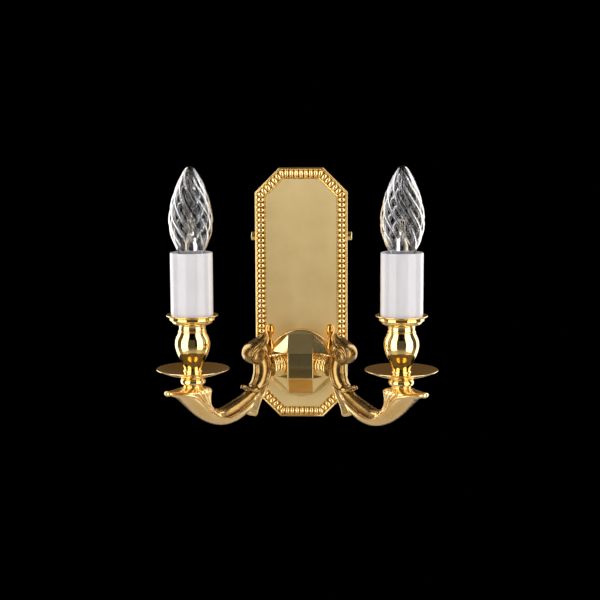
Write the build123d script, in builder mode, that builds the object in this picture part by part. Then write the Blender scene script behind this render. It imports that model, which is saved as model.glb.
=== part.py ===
from build123d import *

import os
from math import cos, hypot, radians, sin, sqrt

# Double arm wall sconce: an eight-sided brass cover on a wall bracket, a faceted boss, and two cast
# scroll arms that each carry a drip pan, a vase, a cup and a candle lamp. Millimetres.
# +Z is up, +X is to the right and the front faces -Y. The wall is the plane y = 0, and the origin is
# the middle of the two wall screw holes, which is also the middle of the cover.

os.makedirs("parts", exist_ok=True)

# ---------------------------------------------------------------- driving dimensions
# cover
PLATE_WIDTH = 77.0
PLATE_HEIGHT = 210.0
PLATE_DEPTH = 20.0
PLATE_CORNER = 20.3
PLATE_WALL = 1.5
PLATE_FRONT = 3.0
PLATE_EDGE_ROUND = 1.1
RIM_WIDTH = 1.3
BEAD_BAND = 6.8
BAND_DEPTH = 1.3
BEAD_LENGTH = 5.8
BEAD_RADIUS = 2.0
BEAD_END_RADIUS = 0.9
BEAD_PITCH = 4.24
BEAD_PROUD = 0.6
FIELD_ROUND = 0.6

# wall bracket
BRACKET_THICKNESS = 1.5
STRAP_WIDTH = 30.0
STRAP_BELOW_SCREW = 20.0
EAR_HEIGHT = 16.0
EAR_DEPTH = 16.0
EAR_GAP = 0.4
HOOK_DEPTH = 12.0
WALL_SCREW_SPACING = 100.0
WALL_SCREW_HOLE = 5.0
CABLE_HOLE = 14.0

# side screws
SIDE_SCREW_HEIGHT = 48.0
SIDE_SCREW_FROM_WALL = 11.5
SIDE_SCREW_SHANK = 4.0
SIDE_SCREW_LENGTH = 10.0
SIDE_SCREW_HEAD = 7.2
SIDE_SCREW_HEAD_DEPTH = 3.7
SLOT_WIDTH = 1.0
SLOT_DEPTH = 1.2
SCREW_HOLE_CLEARANCE = 0.2

# connector and earth terminal
BLOCK_WIDTH = 32.0
BLOCK_DEPTH = 12.0
BLOCK_HEIGHT = 17.0
BLOCK_BOTTOM = 14.0
BLOCK_PITCH = 10.0
BLOCK_TUBE = 5.0
BLOCK_TUBE_BORE = 3.2
BLOCK_TUBE_INSET = 1.0
BLOCK_SCREW = 2.6
BLOCK_SCREW_SPACING = 9.0
BLOCK_SCREW_SUNK = 0.6
EARTH_SCREW_HEIGHT = -24.0
EARTH_SCREW_SHANK = 4.0
EARTH_SCREW_HEAD = 8.0
EARTH_SCREW_HEAD_DEPTH = 2.6

# boss
BOSS_ABOVE_BOTTOM = 47.5
BOSS_FACET = 20.7
BOSS_DISC = 57.0
BOSS_DISC_ROUND = 0.8
BOSS_WALL = 2.5
BOSS_POST = 8.0
BOSS_POST_SPACING = 34.0
BOSS_SCREW = 4.0
BOSS_SCREW_GRIP = 9.0
BOSS_SCREW_HEAD = 7.0
BOSS_SCREW_HEAD_DEPTH = 2.6
PLATE_WIRE_HOLE = 18.0

# threaded tubes and nuts
TUBE_DIAMETER = 10.0
TUBE_BORE = 7.0
NUT_WIDTH = 13.0
NUT_THICKNESS = 3.0
NIPPLE_PAST_NUT = 2.0
NIPPLE_GRIP = 7.0
STEM_GRIP = 7.0
THREAD_CLEARANCE = 0.05

# arms: u runs outwards at ARM_ANGLE from straight ahead, and heights are above the boss centre
ARM_ANGLE = 45.0
ARM_REACH = 114.6
ARM_TOP = -3.5
ARM_WAIST_RADIUS = 9.3
COLLAR_LENGTH = 11.0
COLLAR_RADIUS = 9.4
COLLAR_GROOVE_RADIUS = 7.9
COLLAR_RINGS = 3
ARM_TUBE_RADIUS = 7.3
ARM_STUB_RADIUS = 8.4
ARM_STUB_LENGTH = 9.2
TUBE_BEND_BEFORE_MIDDLE = 13.9
TUBE_END_BEFORE_REACH = 23.6
SCROLL_HALF_WIDTH = 6.5
SCROLL_EYE_PAST_DROP = 7.3
SCROLL_EYE_HEIGHT = 13.5
SCROLL_RADIUS = 8.7
TAIL_HALF_WIDTH = 4.0
CUFF_PAST_DROP = 8.2
CUFF_HEIGHT = -18.9
CUFF_RADIUS = 1.7
KNOB_PAST_DROP = 19.4
KNOB_HEIGHT = -14.4
KNOB_RADIUS = 2.4
KNOB_NECK_RADIUS = 1.6
BUD_BEFORE_DROP = 6.7
BUD_MIDDLE_HEIGHT = 30.0
BUD_RADIUS = 3.4
BUD_HEIGHT = 12.0
BUD_SHOULDER = 1.0
TIP_PAST_REACH = 24.6
TIP_HEIGHT = -8.9
TIP_RADIUS = 2.3

# lamp lead
WIRE_BORE = 4.0
WIRE_DIAMETER = 3.0
WIRE_SPREAD = 5.0
WIRE_FROM_WALL = 8.0
WIRE_BEND = 6.0

# candle stack, from the arm's top upwards
SEAT_RING_HEIGHT = 4.4
SEAT_RING_RADIUS = 9.7
SEAT_RING_END_RADIUS = 8.7
PAN_RADIUS = 28.3
PAN_HUB_RADIUS = 8.4
PAN_HUB_EDGE = 1.6
PAN_HUB_HEIGHT = 1.4
PAN_FLOOR = 3.4
PAN_FLOOR_EDGE = 1.0
PAN_UNDERSIDE_BEND = (19.5, 3.9)
PAN_TOPSIDE_BEND = (19.0, 4.9)
PAN_RIM_HEIGHT = 7.9
PAN_EDGE = 0.8
VASE_HEIGHT = 39.2
VASE_FOOT_RADIUS = 6.9
VASE_FOOT_HEIGHT = 1.4
VASE_BEAD_PROUD = 0.6
VASE_BEAD_HEIGHT = 3.0
VASE_COLLAR_PROUD = 0.6
VASE_COLLAR_HEIGHT = 1.0
CUP_HEIGHT = 7.6
CUP_FLOOR = 6.0
CUP_RADIUS = 20.2
CUP_BASE_RADIUS = 10.9
CUP_FLOOR_RADIUS = 16.9
CUP_BOWL_BEND = (15.6, 1.8)
CUP_BELLY_PROUD = 0.5
CUP_BELLY_BELOW_LIP = 2.6
CUP_LIP_BEND = (18.3, 6.3)
CUP_LIP_EDGE = 0.7
CUP_LIP_TOP = 0.4
SLEEVE_HEIGHT = 50.0
SLEEVE_DIAMETER = 33.0
SLEEVE_WALL = 1.5
SLEEVE_ROUND = 0.6

# lampholder
HOLDER_RADIUS = 13.0
HOLDER_BASE_RADIUS = 10.0
HOLDER_LIP = 1.0
HOLDER_SEAT = 11.0
HOLDER_FLOOR = 2.0
SHELL_RADIUS = 8.0
SHELL_WALL = 0.7
SHELL_LENGTH = 30.0
CONTACT_HEIGHT = 4.0
CONTACT_RADIUS = 3.0

# bulb, with its profile as radius and height above the top of its cap
CAP_RADIUS = 6.9
CAP_WALL = 0.35
CAP_BELOW_SHELL_TOP = 2.0
INSULATOR_HEIGHT = 1.9
INSULATOR_RADIUS = 3.0
BULB_CONTACT_HEIGHT = 0.6
BULB_CONTACT_RADIUS = 2.2
GLASS_WALL = 0.7
GLASS_IN_CAP = 4.0
GLASS_HEIGHT = 74.8
BULB_PROFILE = [(7.4, 2.2), (11.0, 9.0), (15.25, 18.5), (17.15, 26.2), (17.5, 33.9), (16.5, 41.6),
                (14.0, 51.9), (11.0, 59.6), (6.35, 67.3), (3.25, 72.3)]
MOUNT_HEIGHT = 24.5
MOUNT_SHOULDER = 6.0
MOUNT_NECK = 2.0
MOUNT_NECK_SWELL = 0.8
MOUNT_RADIUS = 4.3
MOUNT_TOP_RADIUS = 2.1
LEAD_RADIUS = 0.35
LEAD_SPREAD = 1.55
LEAD_HEIGHT = 9.3
SUPPORT_HEIGHT = 15.0
SUPPORT_BEHIND = 1.1
FILAMENT_RADIUS = 0.5
FILAMENT_LENGTH = 5.5

# ---------------------------------------------------------------- places worked out from them
FACE_Y = -PLATE_DEPTH
BOSS_HEIGHT = BOSS_ABOVE_BOTTOM - PLATE_HEIGHT / 2
BOSS_APOTHEM = BOSS_FACET * (1 + sqrt(2)) / 2
COLLAR_END = BOSS_APOTHEM + COLLAR_LENGTH
ARM_DROP_U = COLLAR_END + ARM_STUB_LENGTH
TUBE_RADIUS = TUBE_DIAMETER / 2
THREADED_HOLE = TUBE_RADIUS + THREAD_CLEARANCE
BRACKET_TOP = PLATE_HEIGHT / 2 - PLATE_WALL
EAR_X = PLATE_WIDTH / 2 - PLATE_WALL - EAR_GAP
BLOCK_MIDDLE_Y = -BRACKET_THICKNESS - BLOCK_DEPTH / 2
BLOCK_MIDDLE_Z = BLOCK_BOTTOM + BLOCK_HEIGHT / 2
PLATE_INNER_Y = PLATE_FRONT - PLATE_DEPTH
PAN_BOTTOM = ARM_TOP + SEAT_RING_HEIGHT
VASE_BOTTOM = PAN_BOTTOM + PAN_FLOOR
CUP_BOTTOM = VASE_BOTTOM + VASE_HEIGHT
CANDLE_BOTTOM = CUP_BOTTOM + CUP_FLOOR
STEM_TOP = CANDLE_BOTTOM + HOLDER_SEAT
HOLDER_CAVITY = STEM_TOP + HOLDER_FLOOR
SHELL_TOP = HOLDER_CAVITY + SHELL_LENGTH
BULB_BOTTOM = HOLDER_CAVITY + CONTACT_HEIGHT
INSULATOR_BOTTOM = BULB_BOTTOM + BULB_CONTACT_HEIGHT
CAP_BOTTOM = INSULATOR_BOTTOM + INSULATOR_HEIGHT
CAP_TOP = SHELL_TOP - CAP_BELOW_SHELL_TOP
NECK_RADIUS = CAP_RADIUS - CAP_WALL - THREAD_CLEARANCE
MOUNT_TOP = CAP_TOP + MOUNT_HEIGHT
SCROLL_EYE = (ARM_DROP_U + SCROLL_EYE_PAST_DROP, SCROLL_EYE_HEIGHT)
CUFF_PLACE = (ARM_DROP_U + CUFF_PAST_DROP, CUFF_HEIGHT)
KNOB_PLACE = (ARM_DROP_U + KNOB_PAST_DROP, KNOB_HEIGHT)
BUD_PLACE = (ARM_DROP_U - BUD_BEFORE_DROP, BUD_MIDDLE_HEIGHT)
TIP_PLACE = (ARM_REACH + TIP_PAST_REACH, TIP_HEIGHT)

# The tube's line inside one arm: straight down from the scroll, out under the cuff, and up towards
# the open leaf. The wire starts at the boss, follows the same bends and ends under the candle.
TUBE_LINE = [(ARM_DROP_U, -11.5), ((ARM_DROP_U + ARM_REACH) / 2 - TUBE_BEND_BEFORE_MIDDLE, -33.0),
             (ARM_REACH - TUBE_END_BEFORE_REACH, -37.5)]
TUBE_ROUTE = [(ARM_DROP_U, 9.5)] + TUBE_LINE
TUBE_BENDS = [18.0, 22.0]
WIRE_ROUTE = [(ARM_DROP_U, 0.0)] + TUBE_LINE + [(ARM_REACH, -24.5)]
WIRE_BENDS = [5.5] + TUBE_BENDS + [22.0, 14.0]
# The open leaf's sections, outwards from the candle's axis: its lower edge, its upper edge and half
# its width across the arm.
LEAF_SECTIONS = [((-30.6, -43.9), (-31.4, -29.5), 7.3), ((-20.6, -42.1), (-25.1, -27.5), 8.6),
                 ((-9.6, -37.3), (-20.1, -23.0), 10.5), ((2.4, -29.0), (-16.6, -18.0), 12.0),
                 ((14.4, -17.0), (-15.1, -13.0), 12.5), ((24.9, -8.9), (-15.6, -9.3), 12.0)]
# The throat above the leaf: height, middle of the section outwards from the candle's axis, half its
# length and half its width.
THROAT_SECTIONS = [(-9.9, 4.6, 19.0, 11.2), (-7.5, 2.0, 13.5, 10.8), (-5.3, 0.4, 10.2, 9.9),
                   (ARM_TOP, 0.0, ARM_WAIST_RADIUS, ARM_WAIST_RADIUS)]
# The scroll's back and the tail leaf, outwards from the tube's upright middle line.
SCROLL_BACK = [(-5.2, -2.5), (-6.9, 11.5), (-4.8, 25.5), (-0.6, 27.7), (4.3, 25.7), (13.4, 19.7),
               (10.8, 7.5), (4.8, 1.5)]
TAIL_OUTLINE = [(-2.2, -16.5), (-1.2, -26.5), (2.4, -40.1), (7.3, -41.8), (12.8, -38.7),
                (24.8, -39.5), (16.8, -26.5)]
# Turned outlines: radius and height above the piece's bottom.
VASE_BODY = [(7.0, 4.6), (9.35, 10.9), (12.0, 15.7), (13.75, 20.4), (14.15, 24.2), (13.3, 28.4),
             (11.2, 32.2), (10.4, 34.0)]


def save(builder, name):
    """Labels a finished piece and writes its STEP file under the same name."""
    builder.part.label = name
    export_step(builder.part, f"parts/{name}.step")


# ---------------------------------------------------------------- cover
def plate_corners(inset):
    """The corners of the cover's eight-sided outline, moved inwards by the inset, as (x, z)."""
    corner = PLATE_CORNER - inset * (2 - sqrt(2))
    x = PLATE_WIDTH / 2 - inset
    z = PLATE_HEIGHT / 2 - inset
    half = [(x, z - corner), (x - corner, z), (corner - x, z), (-x, z - corner)]
    return half + [(-px, -pz) for px, pz in half]


def bead_places():
    """Where the beads lie: one evenly spaced row along each of the eight sides of the bead band."""
    corners = plate_corners(RIM_WIDTH + BEAD_BAND / 2)
    places = []
    for (x0, z0), (x1, z1) in zip(corners, corners[1:] + corners[:1]):
        count = int(hypot(x1 - x0, z1 - z0) / BEAD_PITCH)
        along = Vector(x1 - x0, 0, z1 - z0).normalized()
        middle = Vector((x0 + x1) / 2, FACE_Y - BEAD_PROUD + BEAD_RADIUS, (z0 + z1) / 2)
        across = along.cross(Vector(0, 1, 0))
        for i in range(count):
            spot = middle + along * ((i - (count - 1) / 2) * BEAD_PITCH)
            places.append(Plane(origin=spot, x_dir=across, z_dir=(0, -1, 0)))
    return places


with BuildPart() as bead:
    with BuildSketch(Plane.XY):
        with BuildLine():
            ThreePointArc((-BEAD_LENGTH / 2, BEAD_END_RADIUS), (0, BEAD_RADIUS),
                          (BEAD_LENGTH / 2, BEAD_END_RADIUS))
            Polyline((BEAD_LENGTH / 2, BEAD_END_RADIUS), (BEAD_LENGTH / 2, 0),
                     (-BEAD_LENGTH / 2, 0), (-BEAD_LENGTH / 2, BEAD_END_RADIUS))
        make_face()
    revolve(axis=Axis.X)

with BuildPart() as backplate:
    with BuildSketch(Plane.XZ):
        Polygon(*plate_corners(0), align=None)
    extrude(amount=PLATE_DEPTH)
    fillet(backplate.faces().sort_by(Axis.Y)[0].edges(), PLATE_EDGE_ROUND)
    with BuildSketch(Plane.XZ):
        Polygon(*plate_corners(PLATE_WALL), align=None)
    extrude(amount=PLATE_DEPTH - PLATE_FRONT, mode=Mode.SUBTRACT)
    with BuildSketch(Plane.XZ.offset(PLATE_DEPTH)):
        Polygon(*plate_corners(RIM_WIDTH), align=None)
        Polygon(*plate_corners(RIM_WIDTH + BEAD_BAND), align=None, mode=Mode.SUBTRACT)
    extrude(amount=-BAND_DEPTH, mode=Mode.SUBTRACT)
    field = backplate.faces().group_by(Axis.Y)[0].sort_by(SortBy.AREA)[-1]
    fillet(field.outer_wire().edges(), FIELD_ROUND)
    with BuildSketch(Plane.XZ.offset(PLATE_DEPTH)):
        with Locations((0, BOSS_HEIGHT)):
            Circle(PLATE_WIRE_HOLE / 2)
        with Locations((0, BOSS_HEIGHT)), GridLocations(0, BOSS_POST_SPACING, 1, 2):
            Circle(BOSS_SCREW / 2 + SCREW_HOLE_CLEARANCE)
    extrude(amount=-PLATE_FRONT, mode=Mode.SUBTRACT)
    with BuildSketch(Plane.YZ):
        with Locations((-SIDE_SCREW_FROM_WALL, SIDE_SCREW_HEIGHT)):
            Circle(SIDE_SCREW_SHANK / 2 + SCREW_HOLE_CLEARANCE)
    extrude(amount=PLATE_WIDTH / 2, both=True, mode=Mode.SUBTRACT)
    with Locations(*bead_places()):
        add(bead.part)
save(backplate, "backplate")

# ---------------------------------------------------------------- wall bracket and side screws
STRAP_BOTTOM = -WALL_SCREW_SPACING / 2 - STRAP_BELOW_SCREW

with BuildPart() as wall_bracket:
    with BuildSketch(Plane.XZ):
        with Locations((0, (BRACKET_TOP + STRAP_BOTTOM) / 2)):
            Rectangle(STRAP_WIDTH, BRACKET_TOP - STRAP_BOTTOM)
        with Locations((0, SIDE_SCREW_HEIGHT)):
            Rectangle(2 * EAR_X, EAR_HEIGHT)
        with GridLocations(0, WALL_SCREW_SPACING, 1, 2):
            Circle(WALL_SCREW_HOLE / 2, mode=Mode.SUBTRACT)
        Circle(CABLE_HOLE / 2, mode=Mode.SUBTRACT)
        with Locations((0, EARTH_SCREW_HEIGHT)):
            Circle(EARTH_SCREW_SHANK / 2 + THREAD_CLEARANCE, mode=Mode.SUBTRACT)
    extrude(amount=BRACKET_THICKNESS)
    with BuildSketch(Plane.XY.offset(BRACKET_TOP)):
        with Locations((0, -HOOK_DEPTH / 2)):
            Rectangle(STRAP_WIDTH, HOOK_DEPTH)
    extrude(amount=-BRACKET_THICKNESS)
    with BuildSketch(Plane.XY.offset(SIDE_SCREW_HEIGHT)):
        with Locations((0, -EAR_DEPTH / 2)), GridLocations(2 * EAR_X - BRACKET_THICKNESS, 0, 2, 1):
            Rectangle(BRACKET_THICKNESS, EAR_DEPTH)
    extrude(amount=EAR_HEIGHT / 2, both=True)
    with BuildSketch(Plane.YZ):
        with Locations((-SIDE_SCREW_FROM_WALL, SIDE_SCREW_HEIGHT)):
            Circle(SIDE_SCREW_SHANK / 2 + THREAD_CLEARANCE)
    extrude(amount=EAR_X, both=True, mode=Mode.SUBTRACT)
save(wall_bracket, "wall_bracket")

for name, side in (("left", -1), ("right", 1)):
    seat = Plane(origin=(side * PLATE_WIDTH / 2, -SIDE_SCREW_FROM_WALL, SIDE_SCREW_HEIGHT),
                 x_dir=(0, 0, 1), z_dir=(side, 0, 0))
    with BuildPart() as side_screw:
        with BuildSketch(seat):
            Circle(SIDE_SCREW_HEAD / 2)
        extrude(amount=SIDE_SCREW_HEAD_DEPTH)
        fillet(side_screw.faces().sort_by(Axis.X)[-1 if side > 0 else 0].edges(), FIELD_ROUND)
        with BuildSketch(seat.offset(SIDE_SCREW_HEAD_DEPTH)):
            Rectangle(SIDE_SCREW_HEAD, SLOT_WIDTH)
        extrude(amount=-SLOT_DEPTH, mode=Mode.SUBTRACT)
        with BuildSketch(seat):
            Circle(SIDE_SCREW_SHANK / 2)
        extrude(amount=-SIDE_SCREW_LENGTH)
    save(side_screw, f"side_screw_{name}")

# ---------------------------------------------------------------- connector and earth terminal
BLOCK_FRONT_PLANE = Plane.XZ.offset(BRACKET_THICKNESS + BLOCK_DEPTH)
BLOCK_SCREW_REACH = BLOCK_DEPTH / 2 - BLOCK_TUBE_BORE / 2

with BuildPart() as terminal_block:
    with BuildSketch(Plane.XY.offset(BLOCK_BOTTOM)):
        with Locations((0, BLOCK_MIDDLE_Y)):
            Rectangle(BLOCK_WIDTH, BLOCK_DEPTH)
            with GridLocations(BLOCK_PITCH, 0, 3, 1):
                Circle(BLOCK_TUBE / 2 + THREAD_CLEARANCE, mode=Mode.SUBTRACT)
    extrude(amount=BLOCK_HEIGHT)
    with BuildSketch(BLOCK_FRONT_PLANE):
        with Locations((0, BLOCK_MIDDLE_Z)), GridLocations(BLOCK_PITCH, BLOCK_SCREW_SPACING, 3, 2):
            Circle(BLOCK_SCREW / 2 + THREAD_CLEARANCE)
    extrude(amount=-BLOCK_DEPTH / 2, mode=Mode.SUBTRACT)
save(terminal_block, "terminal_block")

with BuildPart() as terminal_tubes:
    with BuildSketch(Plane.XY.offset(BLOCK_BOTTOM + BLOCK_TUBE_INSET)):
        with Locations((0, BLOCK_MIDDLE_Y)), GridLocations(BLOCK_PITCH, 0, 3, 1):
            Circle(BLOCK_TUBE / 2)
            Circle(BLOCK_TUBE_BORE / 2, mode=Mode.SUBTRACT)
    extrude(amount=BLOCK_HEIGHT - 2 * BLOCK_TUBE_INSET)
    with BuildSketch(BLOCK_FRONT_PLANE):
        with Locations((0, BLOCK_MIDDLE_Z)), GridLocations(BLOCK_PITCH, BLOCK_SCREW_SPACING, 3, 2):
            Circle(BLOCK_SCREW / 2 + THREAD_CLEARANCE)
    extrude(amount=-BLOCK_DEPTH / 2, mode=Mode.SUBTRACT)
save(terminal_tubes, "terminal_tubes")

with BuildPart() as terminal_screws:
    with BuildSketch(BLOCK_FRONT_PLANE.offset(-BLOCK_SCREW_SUNK)):
        with Locations((0, BLOCK_MIDDLE_Z)), GridLocations(BLOCK_PITCH, BLOCK_SCREW_SPACING, 3, 2):
            Circle(BLOCK_SCREW / 2)
    extrude(amount=BLOCK_SCREW_SUNK - BLOCK_SCREW_REACH)
save(terminal_screws, "terminal_screws")

with BuildPart() as earth_screw:
    with BuildSketch(Plane.XZ):
        with Locations((0, EARTH_SCREW_HEIGHT)):
            Circle(EARTH_SCREW_SHANK / 2)
    extrude(amount=BRACKET_THICKNESS)
    with BuildSketch(Plane.XZ.offset(BRACKET_THICKNESS)):
        with Locations((0, EARTH_SCREW_HEIGHT)):
            Circle(EARTH_SCREW_HEAD / 2)
    extrude(amount=EARTH_SCREW_HEAD_DEPTH)
    with BuildSketch(Plane.XZ.offset(BRACKET_THICKNESS + EARTH_SCREW_HEAD_DEPTH)):
        with Locations((0, EARTH_SCREW_HEIGHT)):
            Rectangle(EARTH_SCREW_HEAD, SLOT_WIDTH)
    extrude(amount=-SLOT_DEPTH, mode=Mode.SUBTRACT)
save(earth_screw, "earth_screw")


# ---------------------------------------------------------------- arms: planes and routes
def arm_plane(side):
    """The upright plane of one arm: local x runs outwards from the boss centre, local y is up."""
    out = (side * sin(radians(ARM_ANGLE)), -cos(radians(ARM_ANGLE)), 0)
    return Plane(origin=(0, FACE_Y, BOSS_HEIGHT), x_dir=out, z_dir=(out[1], -out[0], 0))


def across(plane, u, z, direction_u=1.0, direction_z=0.0):
    """A plane square to a direction in an arm's plane, at (u, z); its local y lies across the arm."""
    normal = plane.x_dir * direction_u + plane.y_dir * direction_z
    return Plane(origin=plane.from_local_coords((u, z, 0)), x_dir=plane.z_dir.cross(normal),
                 z_dir=normal)


def boss_solid(facet):
    """The front half of a cut cube with square and triangular facets, on its own octagonal belt."""
    apothem = facet * (1 + sqrt(2)) / 2
    step = facet / sqrt(2)
    belt = Plane.XZ.offset(PLATE_DEPTH)
    front = belt.offset(facet / 2)
    triangle_taper = 35.2644
    with BuildPart() as half:
        with BuildSketch(front):
            with Locations((0, BOSS_HEIGHT)):
                Rectangle(2 * apothem, 2 * apothem)
        extrude(amount=step, taper=45)
        with BuildSketch(front):
            with Locations((0, BOSS_HEIGHT)):
                Rectangle(2 * apothem, 2 * apothem, rotation=45)
        extrude(amount=step, taper=triangle_taper, mode=Mode.INTERSECT)
        with BuildSketch(belt):
            with Locations((0, BOSS_HEIGHT)):
                RegularPolygon(apothem, 8, major_radius=False, rotation=22.5)
        extrude(amount=facet / 2)
    return half


# ---------------------------------------------------------------- boss
INNER_FACET = BOSS_FACET - 2 * BOSS_WALL / (1 + sqrt(2))
boss_outside = boss_solid(BOSS_FACET)
boss_inside = boss_solid(INNER_FACET)

with BuildPart() as boss:
    with BuildSketch(Plane.XZ.offset(PLATE_DEPTH)):
        with Locations((0, BOSS_HEIGHT)):
            Circle(BOSS_DISC / 2)
    extrude(amount=BOSS_FACET / 2)
    fillet(boss.faces().sort_by(Axis.Y)[0].edges(), BOSS_DISC_ROUND)
    add(boss_outside.part)
    add(boss_inside.part, mode=Mode.SUBTRACT)
    with BuildSketch(Plane.XZ.offset(PLATE_DEPTH)):
        with Locations((0, BOSS_HEIGHT)), GridLocations(0, BOSS_POST_SPACING, 1, 2):
            Circle(BOSS_POST / 2)
    extrude(amount=BOSS_FACET / 2 + BOSS_WALL)
    with BuildSketch(Plane.XZ.offset(PLATE_DEPTH)):
        with Locations((0, BOSS_HEIGHT)), GridLocations(0, BOSS_POST_SPACING, 1, 2):
            Circle(BOSS_SCREW / 2 + THREAD_CLEARANCE)
    extrude(amount=BOSS_SCREW_GRIP, mode=Mode.SUBTRACT)
    for side in (-1, 1):
        with BuildSketch(across(arm_plane(side), 0, 0)):
            Circle(THREADED_HOLE)
        extrude(amount=BOSS_APOTHEM, mode=Mode.SUBTRACT)
save(boss, "boss")

with BuildPart() as boss_screws:
    with BuildSketch(Plane.XZ.offset(-PLATE_INNER_Y)):
        with Locations((0, BOSS_HEIGHT)), GridLocations(0, BOSS_POST_SPACING, 1, 2):
            Circle(BOSS_SCREW / 2)
    extrude(amount=PLATE_FRONT + BOSS_SCREW_GRIP)
    with BuildSketch(Plane.XZ.offset(-PLATE_INNER_Y)):
        with Locations((0, BOSS_HEIGHT)), GridLocations(0, BOSS_POST_SPACING, 1, 2):
            Circle(BOSS_SCREW_HEAD / 2)
    extrude(amount=-BOSS_SCREW_HEAD_DEPTH)
save(boss_screws, "boss_screws")


# ---------------------------------------------------------------- arm side pieces
def wire_line(side, start_in_cover):
    """The lamp lead's middle line for one side, from the connector or from the boss to the candle."""
    plane = arm_plane(side)
    arm = [plane.from_local_coords((u, z, 0)) for u, z in WIRE_ROUTE]
    top = plane.from_local_coords((ARM_REACH, HOLDER_CAVITY, 0))
    if start_in_cover:
        x = side * WIRE_SPREAD
        start = [Vector(x, -WIRE_FROM_WALL, BLOCK_BOTTOM), Vector(x, -WIRE_FROM_WALL, BOSS_HEIGHT),
                 Vector(x, FACE_Y - WIRE_SPREAD, BOSS_HEIGHT)]
        bends = [WIRE_BEND, WIRE_BEND] + WIRE_BENDS
    else:
        start = [plane.from_local_coords((COLLAR_END, 0, 0))]
        bends = WIRE_BENDS
    return FilletPolyline(*start, *arm, top, radius=bends)


def turned_outline(plane, bottom, bore, points):
    """A closed turned profile: straight between points, which are radius and height going up."""
    outline = [(r, bottom + h) for r, h in points]
    return Polyline((bore, outline[0][1]), *outline, (bore, outline[-1][1]), close=True)


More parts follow.
